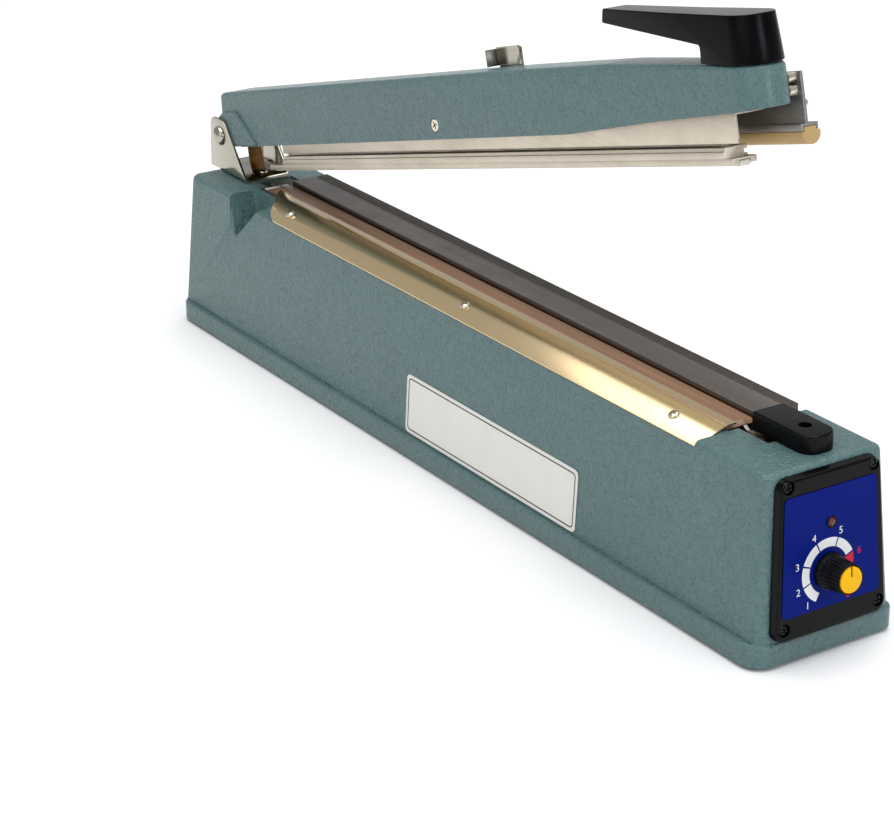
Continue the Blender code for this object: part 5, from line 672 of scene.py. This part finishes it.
def make_hinge():
    """Bent bracket, its pin with domed heads, and the leaf spring that holds the arm open."""
    rise = PIVOT_Z - BRACKET_LOW
    ear = rounded([(-12.5, -rise), (31.5, -rise), (5.0, 10.2), (-11.0, 10.2)], [0, 0, 6.0, 5.0], 10)
    near, far = EAR_NEAR - 1.7, EAR_FAR + 1.7
    bracket = new_shape([(PIVOT_X + x, PIVOT_Z + z) for x, z in ear], "XZ", near, far)
    soften(bracket, 2.6, 6, 60.0, test=lambda a, b: max(a.z, b.z) < BRACKET_LOW + 0.1 and abs(a.x - b.x) > 20)
    inside = new_box((PIVOT_X - 20.0, EAR_NEAR, BRACKET_LOW + 1.7), (PIVOT_X + 40.0, EAR_FAR, 140.0))
    soften(inside, 1.2, 4, 60.0, test=lambda a, b: max(a.z, b.z) < 100 and abs(a.x - b.x) > 20)
    bracket = soften(carve(bracket, inside, plunger_way()), 0.16, 2, 50.0)
    finished("bent_bracket", bracket, STAND, "base", BRACKET_CHROME, ["hinge_bracket"])
    dome = [(0.0, 3.8)] + [(5.9 * math.sin(math.radians(t)), 0.3 + 3.5 * math.cos(math.radians(t)))
                           for t in range(12, 90, 13)] + [(5.9, 0.3), (3.0, 0.3)]
    reach = far - near + 0.3
    tail = [(3.0, -reach), (4.4, -reach), (4.4, -reach - 0.9), (3.9, -reach - 1.4), (0.0, -reach - 1.4)]
    at = STAND @ facing((PIVOT_X, near, PIVOT_Z), (0, -1, 0))
    finished("domed_pin", turned(dome + tail), at, "base", BRACKET_CHROME, ["hinge_pin"])
    for name, y in (("near", -10.0), ("far", 7.2)):
        at = STAND @ shifted(-262.0, y, 93.7)
        make_screw("bracket_screw_" + name, at, "base", SCREW_BRIGHT,
                   "hinge_bracket_screw_" + name)
    line = [(-233.5, 93.7), (-243.6, 93.7), (-246.6, 99.0), (-249.4, 112.0), (-249.8, 122.0), (-247.0, 134.0),
            (-240.0, 142.4)]
    line = rounded(line, [0, 2.8, 14.0, 26.0, 26.0, 20.0, 0], 8, False)
    leaf = new_shape(line + leaning(line, 0.8)[::-1], "XZ", ARM_Y - 4.5, ARM_Y + 4.5)
    soften(leaf, 0.15, 2, 50.0)
    leaf = finished("leaf_spring", leaf, STAND, None, SPRING_PAINTED_REFLECTION, ["return_spring"])
    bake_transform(leaf)
    at = STAND @ shifted(-238.0, ARM_Y, 94.8)
    make_screw("leaf_screw", at, "base", SCREW_BRIGHT, "return_spring_screw", 15.0)


def arm_half(u):
    return (24.0 + 3.0 * u / NOSE_CENTRE) / 2


def widened(shape, half_width):
    for vertex in shape.verts:
        side = 1 if vertex.co.y > ARM_Y else -1
        vertex.co.y = ARM_Y + side * half_width(vertex.co.x, vertex.co.z)
    return shape


def nose_block(low, high, low_radius, high_radius, rear):
    """A block with an upright rear and a half-round front, wider below than above."""
    half = low_radius + (NOSE_CENTRE - rear) * 0.2
    front = arc((NOSE_CENTRE, 0.0), low_radius, 90.0, -90.0, 28)
    shape = new_shape([(rear, -half), (rear, half)] + front, "XY", low, high)
    share = high_radius / low_radius
    for vertex in shape.verts:
        if vertex.co.z > (low + high) / 2 and vertex.co.x > rear + 1:
            vertex.co.x = NOSE_CENTRE + (vertex.co.x - NOSE_CENTRE) * share
            vertex.co.y *= share
    return placed(shape, shifted(0, ARM_Y, 0))


def nose_top(u):
    return 20.6 - 2.4 * (u - 475.0) / (509.8 - 475.0)


def make_arm():
    """The cast arm: a long channel with soft edges, a half-round nose and a lug about the pin."""
    top = rounded([(470.0, 20.85), (400.0, 24.3), (314.0, 25.2)], [0, 260.0, 500.0], 5, False)
    side = [(3.7, 25.2), (1.5, 13.7), (1.5, 0.0), (20.0, -7.8)]
    side += rounded([(340.0, -7.8), (365.0, -7.8), (432.8, -3.6), (515.8, -0.2)],
                    [0, 240.0, 300.0, 0], 5, False)
    side += [(515.8, nose_top(515.8))] + top
    arm = widened(new_shape(side, "XZ", *ARM_SIDES), lambda x, z: arm_half(x))
    arm = carve(arm, nose_block(-26.0, 50.0, NOSE_RADIUS, NOSE_RADIUS, -11.0), operation="INTERSECT")
    soften(arm, 2.4, 5, 50.0, test=lambda a, b: min(a.z, b.z) > 15.0)
    lug_end = 180.0 + math.degrees(math.asin(7.4 / 11.0))
    lug = arc((0.0, 0.0), 11.0, 110.0, lug_end, 20) + [(41.0, -7.4), (27.0, 7.2), (20.0, 13.7), (3.7, 13.7)]
    lug = new_shape(rounded(lug, [0] * 21 + [1.0, 12.0, 5.0, 0], 6), "XZ", *ARM_SIDES)
    soften(lug, 2.2, 7, 60.0, test=lambda a, b: abs(a.y - b.y) < 0.1 and max(a.x, b.x) > -12)
    arm = carve(arm, lug, operation="UNION")
    inner = [(27.0, 22.4), (27.0, -20.0), (491.0, -20.0), (491.0, nose_top(491.0) - 2.8), (475.0, 17.8),
             (400.0, 21.5), (314.0, 22.4)]
    hollow = widened(new_shape(inner, "XZ", *ARM_SIDES), lambda x, z: arm_half(x) - 2.8)
    slot = new_box((7.0, ARM_Y - 5.3, -20.0), (33.0, ARM_Y + 5.3, 22.3))
    bore = round_way(3.3, 30.0, -30.0, 40, facing((0, 0, 0), (0, 1, 0)))
    arm = carve(arm, hollow, slot, bore)
    seat = facing((243.4, ARM_Y - arm_half(243.4), -0.4), (0, -1, 0))
    sink = turned([(0.0, 4.0), (4.1, 4.0), (4.1, 0.0), (1.8, -2.3), (1.8, -6.0), (0.0, -6.0)], 40)
    arm = carve(arm, placed(sink, seat))
    finished("cast_arm", arm, ARM, "arm", ENAMEL, ["arm_casting"], 30.0, 1500.0)
    head = turned([(0.0, -0.25), (3.2, -0.25), (3.3, -0.4), (1.5, -2.1), (1.5, -3.0), (0.0, -3.0)], 40)
    head = carve(head, *cross_slots(2.2, 0.45, -1.6, 1.0))
    at = ARM @ seat @ Matrix.Rotation(0.4, 4, "Z")
    finished("countersunk_screw", head, at, "arm", SCREW_BRIGHT, ["arm_side_screw"], 40.0)
    carried(SCREW_BRIGHT, "handle_screw")


HANDLE_TOP_RADIUS, HANDLE_FRONT_TOP = 12.0, 40.4


def handle_half(u, w):
    """Half the handle's width: narrower above, and towards its free end."""
    foot = nose_top(NOSE_CENTRE)
    per_height = (HANDLE_TOP_RADIUS - NOSE_RADIUS) / (HANDLE_FRONT_TOP - foot)
    rear = 6.8 - per_height * (49.8 - foot)
    per_length = (NOSE_RADIUS - rear) / (NOSE_CENTRE - 397.9)
    return NOSE_RADIUS + per_length * (u - NOSE_CENTRE) + per_height * (w - foot)


def make_handle():
    side = [(397.9, 49.8), (396.5, 43.2), (474.0, 29.2), (474.3, nose_top(474.3) + 0.3),
            (515.8, nose_top(515.8) + 0.3), (515.8, HANDLE_FRONT_TOP), (506.0, HANDLE_FRONT_TOP),
            (453.5, 44.7)]
    side = rounded(side, [1.2, 1.2, 2.0, 0, 0, 0, 0, 60.0], 5)
    handle = widened(new_shape(side, "XZ", *ARM_SIDES), handle_half)
    low, high, below = nose_top(NOSE_CENTRE), 54.0, 6.0
    lean = (HANDLE_TOP_RADIUS - NOSE_RADIUS) / (HANDLE_FRONT_TOP - low)
    nose = nose_block(low - below, high, NOSE_RADIUS - lean * below, NOSE_RADIUS + lean * (high - low),
                      390.0)
    handle = carve(handle, nose, operation="INTERSECT")
    soften(handle, 0.8, 4, 38.0)
    # the upward-facing top faces take the painted sheen material
    for face in handle.faces:
        if face.normal.z > 0.75 and face.calc_center_median().z > 38.0:
            face.material_index = 1
    looks = [HANDLE_BLACK, HANDLE_TOP_PAINTED_SHEEN]
    finished("grip_handle", handle, ARM, "arm", looks, ["handle"], 30.0, 500.0)


def make_bars():
    """Beam, press bar with its pad and pins, in the bars' own tilt."""
    near, far, wall = ARM_Y - 8.6, ARM_Y + 8.6, 1.2
    channel = [(near, -12.7), (near, 1.2), (far, 1.2), (far, -12.7), (far - wall, -12.7), (far - wall, 0.0),
               (near + wall, 0.0), (near + wall, -10.8), (near + 0.5, -10.8), (near + 0.5, -12.7)]
    beam = new_shape(channel, "YZ", 64.4, 489.0)
    short = new_box((460.0, far - wall - 0.3, -18.0), (496.0, far + 6.0, 0.0))
    hole = round_way(1.9, 5.0, -5.0, 24, shifted(466.0, ARM_Y, 0.0))
    beam = soften(carve(beam, hole, short), 0.2, 2, 50.0)
    finished("channel_beam", beam, BARS, "arm", BAR_ALUMINIUM, ["beam_channel"])
    flange = [(-10.0, -22.4), (-6.7, -22.4), (-6.7, -20.5), (-0.1, -20.5), (-0.1, -22.4), (3.4, -22.4),
              (3.4, -19.4), (-10.0, -19.4)]
    bar = soften(new_shape(flange, "YZ", 45.2, 484.0), 0.2, 2)
    upper = [(-10.0, -19.7), (3.4, -19.7), (3.4, -18.5), (1.6, -18.5), (1.6, -16.7), (3.4, -16.7),
             (3.4, -14.6), (0.8, -14.6), (0.8, -5.4), (-3.6, -5.4), (-3.6, -14.6), (-9.3, -14.6),
             (-9.3, -16.3), (-10.0, -16.5)]
    body = soften(new_shape(upper, "YZ", 62.0, 478.0), 0.25, 2)
    bar = carve(bar, body, operation="UNION")
    bar = carve(bar, new_box((469.0, -4.2, -14.55), (484.0, 1.4, -5.0)))
    finished("press_bar_piece", bar, BARS, "press_bar", BAR_ALUMINIUM, ["press_bar"])
    pad = soften(new_box((45.2, -6.4, -23.4), (484.0, -0.4, -20.8)), 0.5, 3)
    finished("silicone_pad", pad, BARS, "press_bar", PAD_WHITE, ["press_bar_pad"])
    for name, u, low, high in (("rear", 55.5, -19.1, 4.0), ("front", 466.0, -5.1, 10.0)):
        pin = [(0.0, high), (1.2, high), (1.6, high - 0.4), (1.6, low), (0.0, low)]
        at = BARS @ shifted(u, ARM_Y, 0.0)
        finished("guide_pin_piece_" + name, turned(pin, 32), at, "press_bar", SCREW_BRIGHT,
                 ["guide_pin_" + name])


def make_rail():
    """Cutter rail: upright plate, holder for the strip, and the spacers to the arm."""
    wall, plate_far = 1.2, 19.2
    outline = [(15.0, -11.6), (15.0, -8.4), (17.7, -8.4), (17.7, 14.8), (plate_far, 14.8), (plate_far, -8.4),
               (24.6, -8.4), (24.6, -11.6), (24.6 - wall, -11.6), (24.6 - wall, -8.4 - wall),
               (15.0 + wall, -8.4 - wall), (15.0 + wall, -11.6)]
    rail = soften(new_shape(outline, "YZ", 58.0, 503.0), 0.18, 2)
    finished("side_rail", rail, BARS, "arm", PLATE_ALUMINIUM, ["cutter_rail"])
    at = BARS @ facing((500.4, plate_far + 0.1, 0.2), (0, 1, 0))
    make_screw("side_rail_screw", at, "arm", SCREW_BRIGHT, "rail_screw", head=2.3, high=2.6,
               length=1.2)
    near, far = 15.0 + wall + 0.3, 24.6 - wall - 0.3
    radius = (25.5 - 15.1) / 2
    section = [(near, -9.9), (near, -11.9), (15.1, -11.9)]
    section += arc((20.3, -18.0 + radius), radius, 180.0, 360.0, 24)
    section += [(25.5, -11.9), (far, -11.9), (far, -9.9)]
    strip = new_shape(section, "YZ", 58.0, 503.0)
    finished("tan_strip", strip, BARS, "arm", STRIP_TAN, ["silicone_strip"])
    for name, u, w in (("front_upper", 499.0, 12.6), ("front_lower", 499.0, 6.8), ("rear", 70.0, 6.8)):
        start = ARM_Y + (arm_half(u) if u < NOSE_CENTRE else NOSE_RADIUS) + 0.3
        long = 17.4 - start
        tube = [(0.0, long), (2.1, long), (2.5, long - 0.4), (2.5, 0.4), (2.1, 0.0), (0.0, 0.0)]
        at = BARS @ facing((u, start, w), (0, 1, 0))
        finished("spacer_" + name, turned(tube, 32), at, "arm", SCREW_BRIGHT,
                 ["rail_spacer_" + name])


def make_cutter():
    """Sliding cutter: bent carriage, knurled thumb plate, blade."""
    plate = new_box((271.0, 13.5, -12.6), (292.3, 14.5, 34.5))
    flange = new_box((271.0, 5.7, 25.8), (272.0, 14.3, 34.5))
    carriage = soften(carve(plate, flange, operation="UNION"), 0.2, 2, 50.0)
    finished("bent_carriage", carriage, ARM, "cutter", DARK_PLATED, ["cutter_carriage"])
    thumb = new_box((272.3, 11.7, 25.8), (292.3, 13.2, 35.3))
    split_across(thumb, range(274, 292, 2))
    for vertex in thumb.verts:
        if vertex.co.y < 12.0 and 273.0 < vertex.co.x < 291.5 and round(vertex.co.x / 2) % 2:
            vertex.co.y += 0.5
    finished("thumb_plate", soften(thumb, 0.12, 2, 60.0), ARM, "cutter", BRACKET_CHROME,
             ["cutter_thumb_plate"])
    edge = [(277.0, -8.6), (277.0, -17.2), (277.5, -17.7), (286.0, -12.6), (286.0, -8.6)]
    blade = new_shape(edge, "XZ", 12.7, 13.2)
    finished("steel_blade", blade, ARM, "cutter", SCREW_BRIGHT, ["cutter_blade"])


KNOB_Y, KNOB_T = -2.5, -9.2
LAMP_Y, LAMP_T = -0.7, 13.6
FACE = 4.8
DIAL_FACE = FACE + 0.15 + 0.3
PANEL_SCREWS = {"panel_screw_top_near": (-25.0, 35.2), "panel_screw_top_far": (25.0, 35.2),
                "panel_screw_low_near": (-27.8, -32.4), "panel_screw_low_far": (27.8, -32.4)}


def panel_ways():
    """Ways through the panel for the timer's bush and the lamp."""
    return [round_way(radius, 9.0, -9.0, 36, facing((0.0, y, t), (1, 0, 0)))
            for radius, y, t in ((3.8, KNOB_Y, KNOB_T), (2.8, LAMP_Y, LAMP_T))]


def make_bezel():
    """Black bezel with leaning, rounded sides and sunk screws."""
    wide = [(-33.3, -39.0), (33.3, -39.0), (29.4, 39.0), (-29.4, 39.0)]
    bezel = new_shape(rounded(wide, 6.0, 10), "YZ", 0.3, FACE)
    for vertex in bezel.verts:
        if vertex.co.x > 2.0:
            vertex.co.y *= 0.985
            vertex.co.z *= 0.988
    soften(bezel, 1.3, 6, 40.0, test=lambda a, b: min(a.x, b.x) > FACE - 0.1)
    seats = []
    for y, t in PANEL_SCREWS.values():
        seat = turned([(0.0, 6.0), (3.2, 6.0), (3.2, -2.0), (1.8, -2.0), (1.8, -12.0), (0.0, -12.0)], 36)
        seats.append(placed(seat, facing((FACE, y, t), (1, 0, 0))))
    bezel = carve(bezel, *seats, *panel_ways())
    finished("raised_bezel", bezel, PANEL, "base", BEZEL_BLACK, ["panel_bezel"])
    for node, (y, t) in PANEL_SCREWS.items():
        at = PANEL @ facing((FACE - 1.7, y, t), (1, 0, 0))
        make_screw("black_" + node, at, "base", SCREW_BLACK, node, y + t)


def ring_piece(inner, outer, start, end, taper=1.0):
    """Part of a ring on the dial, in degrees clockwise from the top; a taper below 1 narrows its end."""
    steps = 12
    turns = [start + (end - start) * k / steps for k in range(steps + 1)]
    def at(radius, degrees):
        t = math.radians(degrees)
        return (KNOB_Y + radius * math.sin(t), KNOB_T + radius * math.cos(t))
    middle = (inner + outer) / 2
    half = [(outer - inner) / 2 * (1 + (taper - 1) * k / steps) for k in range(steps + 1)]
    outside = [at(middle + h, t) for h, t in zip(half, turns)]
    inside = [at(middle - h, t) for h, t in zip(half, turns)]
    return outside + inside[::-1]


NUMBERS = {"1": (-140, False), "2": (-111, False), "3": (-73, False), "4": (-26, False), "5": (23, False),
           "6": (75, True), "7": (109, True), "8": (142, True)}


def make_dial():
    """Blue dial plate with its printed scale and plain numbers."""
    corners = [(-30.0, -26.9), (28.4, -26.9), (26.4, 30.5), (-28.0, 30.5)]
    plate = new_shape(rounded([(y * 0.985, t) for y, t in corners], 2.5, 8), "YZ", FACE + 0.15, DIAL_FACE)
    plate = carve(plate, *panel_ways())
    finished("blue_plate", plate, PANEL, "base", DIAL_BLUE, ["dial_plate"])
    bounds = [-153, -110, -71, -26, 22, 68]
    white = [(a + 1.6, b - 1.6) for a, b in zip(bounds, bounds[1:])]
    low, high = DIAL_FACE + 0.02, DIAL_FACE + 0.07
    for k, (start, end) in enumerate(white, 1):
        band = new_shape(ring_piece(11.2, 15.5, start, end), "YZ", low, high)
        finished(f"scale_arc_{k}", band, PANEL, "base", PRINT_WHITE)
    for k, (start, end) in enumerate(((70, 104), (108, 140)), 1):
        wedge = new_shape(ring_piece(10.4, 15.6, start, end, 0.35), "YZ", low, high)
        finished(f"scale_wedge_{k}", wedge, PANEL, "base", PRINT_RED)
    for digit, (degrees, red) in NUMBERS.items():
        letter = bpy.data.curves.new("digit", "FONT")
        letter.body = digit
        letter.size = 4.9
        letter.extrude = 0.025
        letter.align_x = "CENTER"
        letter.align_y = "CENTER"
        holder = bpy.data.objects.new("digit", letter)
        bpy.context.scene.collection.objects.link(holder)
        bpy.context.view_layer.update()
        mesh = bpy.data.meshes.new_from_object(holder.evaluated_get(bpy.context.evaluated_depsgraph_get()))
        bpy.data.objects.remove(holder, do_unlink=True)
        bpy.data.curves.remove(letter)
        shape = bmesh.new()
        shape.from_mesh(mesh)
        bpy.data.meshes.remove(mesh)
        bmesh.ops.remove_doubles(shape, verts=shape.verts, dist=0.001)
        t = math.radians(degrees)
        upright = Matrix(((0, 0, 1, 0), (1, 0, 0, 0), (0, 1, 0, 0), (0, 0, 0, 1)))
        spot = (DIAL_FACE + 0.05, KNOB_Y + 18.9 * math.sin(t), KNOB_T + 18.9 * math.cos(t))
        look = PRINT_RED if red else PRINT_WHITE
        placed(shape, shifted(*spot) @ upright)
        finished("number_" + digit, shape, PANEL, "base", look)


def make_lamp():
    lens = [(0.0, 6.4), (1.0, 6.3), (1.7, 6.0), (2.1, 5.5), (2.1, -7.0), (0.0, -7.0)]
    at = PANEL @ facing((0.0, LAMP_Y, LAMP_T), (1, 0, 0))
    finished("amber_lens", turned(lens, 36), at, "base", LAMP_LENS, ["indicator_lamp"])
    ring = [(2.2, 5.9), (2.75, 5.9), (3.0, 5.5), (2.75, 5.5), (2.75, 0.5), (2.2, 0.5)]
    finished("lamp_ring", turned(ring, 36), at, "base", KNOB_BLACK)


def make_knob():
    """Fluted knob and its yellow cap with a pointer slot."""
    base = DIAL_FACE + 0.3
    top = base + 15.0
    line = [(0.0, top - 1.1), (6.6, top - 1.1), (6.6, top - 0.3), (6.9, top), (7.3, top - 0.5),
            (7.9, base + 6.0), (8.1, base + 3.0), (8.8, base + 2.4), (8.8, base + 0.3), (8.5, base),
            (4.1, base), (4.1, base + 2.3), (3.3, base + 2.3), (3.3, base + 10.3), (0.0, base + 10.3)]
    knob = turned(line, 144)
    for vertex in knob.verts:
        radius = math.hypot(vertex.co.x, vertex.co.y)
        if radius > 6.95 and base + 2.9 < vertex.co.z < top - 0.2:
            turn = math.atan2(vertex.co.y, vertex.co.x)
            share = 1 - 0.055 * (0.5 - 0.5 * math.cos(24 * turn)) ** 2
            vertex.co.x *= share
            vertex.co.y *= share
    at = PANEL @ facing((0.0, KNOB_Y, KNOB_T), (1, 0, 0))
    finished("fluted_knob", knob, at, "knob", KNOB_BLACK, ["timer_knob"], 40.0)
    cap = turned([(0.0, top + 0.5), (5.6, top + 0.5), (6.1, top + 0.3), (6.3, top - 0.1), (6.3, top - 0.8),
                  (0.0, top - 0.8)], 64)
    slot = new_box((top - 0.1, KNOB_Y - 0.45, KNOB_T + 1.6), (top + 2.0, KNOB_Y + 0.45, KNOB_T + 8.0))
    cap = carve(placed(cap, facing((0.0, KNOB_Y, KNOB_T), (1, 0, 0))), slot)
    finished("yellow_cap", cap, PANEL, "knob", CAP_YELLOW, ["knob_cap"], 40.0)
    mark = new_box((top - 0.6, KNOB_Y - 0.4, KNOB_T + 1.8), (top + 0.1, KNOB_Y + 0.4, KNOB_T + 6.1))
    finished("pointer_mark", mark, PANEL, "knob", KNOB_BLACK)


def make_label():
    """Blank film label with a printed border."""
    half = (45.2 - 12.4) / 2 / math.cos(SIDE_LEAN)
    outline = rounded(rectangle(-20.0, 135.5, -half, half), 3.0, 8)
    film = new_shape(outline, "XZ", -0.40, -0.12)
    finished("label_film_piece", film, NEAR_WALL, "base", LABEL_FILM, ["side_label"])
    edge = new_shape(rounded(rectangle(-18.2, 133.7, -half + 1.8, half - 1.8), 2.4, 8), "XZ", -0.45, -0.41)
    inner = new_shape(rounded(rectangle(-17.5, 133.0, -half + 2.5, half - 2.5), 1.8, 8), "XZ", -0.6, -0.3)
    finished("label_border", carve(edge, inner), NEAR_WALL, "base", LABEL_INK)


def make_inside():
    """Finishes of what the base holds, and the gland."""
    carried(CORE_SHEETS, "transformer_core")
    carried(COIL_WINDING, "transformer_coil")
    carried(BOARD_GREEN, "timer_board")
    carried(SWITCH_BLACK, "microswitch", "timer_potentiometer")
    ring = [(3.6, 1.8), (7.0, 1.8), (8.0, 1.4), (8.5, 0.7), (8.5, 0.0), (6.0, 0.0), (6.0, -9.0),
            (4.2, -9.0), (3.6, -8.4)]
    at = REAR_WALL @ facing((-0.3, 0.0, 0.0), (-1, 0, 0))
    finished("gland_ring", turned(ring, 48), at, "base", COVER_BLACK, ["cord_gland"])
    line = [(0.0, 22.6), (0.7, 22.6), (1.3, 22.2), (1.6, 21.4), (1.6, 0.0), (0.0, 0.0)]
    at = STAND @ shifted(PLUNGER_X, PLUNGER_Y, 108.0 - 22.6)
    finished("steel_plunger", turned(line, 32), at, "plunger", SCREW_BRIGHT,
             ["switch_plunger"])


make_base()
make_bottom()
make_cover_strip()
make_bed()
make_terminals()
make_hinge()
make_arm()
make_handle()
make_bars()
make_rail()
make_cutter()
make_bezel()
make_dial()
make_lamp()
make_knob()
make_label()
make_inside()


def make_floor():
    finish = Finish("pale_floor", Roughness=0.9, **{"Specular IOR Level": 0.1})
    mottle = finish.noise(3.0, 2.0)
    shade = finish.mixed(mottle, (0.90, 0.90, 0.90), (0.92, 0.92, 0.92))
    shape = bmesh.new()
    bmesh.ops.create_grid(shape, x_segments=1, y_segments=1, size=6.0)
    mesh = bpy.data.meshes.new("floor")
    shape.to_mesh(mesh)
    shape.free()
    mesh.materials.append(finish.done(Base_Color=shade))
    floor = bpy.data.objects.new("floor", mesh)
    bpy.context.scene.collection.objects.link(floor)


def make_lamp_panel(name, spot, target, size, power, tint=(1.0, 1.0, 1.0)):
    """A soft studio light."""
    light = bpy.data.lights.new(name, "AREA")
    light.shape = "SQUARE"
    light.size = size
    light.energy = power
    light.color = tint
    holder = bpy.data.objects.new(name, light)
    way = Vector(target) - Vector(spot)
    holder.matrix_world = Matrix.Translation(spot) @ way.to_track_quat("-Z", "Y").to_matrix().to_4x4()
    bpy.context.scene.collection.objects.link(holder)


def make_studio():
    world = bpy.data.worlds.new("studio")
    world.use_nodes = True
    tree = world.node_tree
    path = tree.nodes.new("ShaderNodeLightPath")
    seen = tree.nodes.new("ShaderNodeMix")
    seen.data_type = "RGBA"
    colours = [socket for socket in seen.inputs if socket.type == "RGBA"]
    colours[0].default_value, colours[1].default_value = (0.45, 0.455, 0.46, 1.0), (1.0, 1.0, 1.0, 1.0)
    tree.links.new(path.outputs["Is Camera Ray"], seen.inputs[0])
    mixed = [socket for socket in seen.outputs if socket.type == "RGBA"][0]
    tree.links.new(mixed, tree.nodes["Background"].inputs["Color"])
    bpy.context.scene.world = world
    sky = bpy.data.lights.new("sky", "SUN")
    sky.energy = 1.9
    sky.angle = math.radians(70.0)
    bpy.context.scene.collection.objects.link(bpy.data.objects.new("sky", sky))
    make_lamp_panel("overhead", (0.1, 0.3, 1.9), (0.0, 0.0, 0.1), 1.6, 8.0)
    make_lamp_panel("front_fill", (1.6, 0.1, 0.8), (0.25, 0.0, 0.1), 0.5, 5.0, (0.86, 0.92, 1.0))
    make_lamp_panel("near_key", (0.7, -1.7, 1.1), (0.2, 0.0, 0.1), 1.5, 6.5)


def make_camera():
    """The camera at the photograph's place: yaw, pitch and roll in degrees, focal length in pixels."""
    yaw, pitch, roll = (math.radians(turn) for turn in (57.009, -22.764, -0.359))
    focal, wide = 2508.6, 894
    ahead = Vector((-math.sin(yaw) * math.cos(pitch), math.cos(yaw) * math.cos(pitch), math.sin(pitch)))
    right = ahead.cross(Vector((0, 0, 1))).normalized()
    up = right.cross(ahead)
    right, up = (right * math.cos(roll) + up * math.sin(roll)), (up * math.cos(roll) - right * math.sin(roll))
    lens = bpy.data.cameras.new("view")
    lens.sensor_fit = "HORIZONTAL"
    lens.sensor_width = 36.0
    lens.lens = 36.0 * focal / wide
    lens.clip_end = 50.0
    holder = bpy.data.objects.new("view", lens)
    turn = Matrix((right, up, -ahead)).transposed().to_4x4()
    holder.matrix_world = Matrix.Translation((1.0353 - 0.00885, -0.6975, 0.5450 + 0.002)) @ turn
    bpy.context.scene.collection.objects.link(holder)
    bpy.context.scene.camera = holder


make_floor()
make_studio()
make_camera()
bpy.context.scene.view_settings.view_transform = "Standard"
bpy.context.view_layer.update()
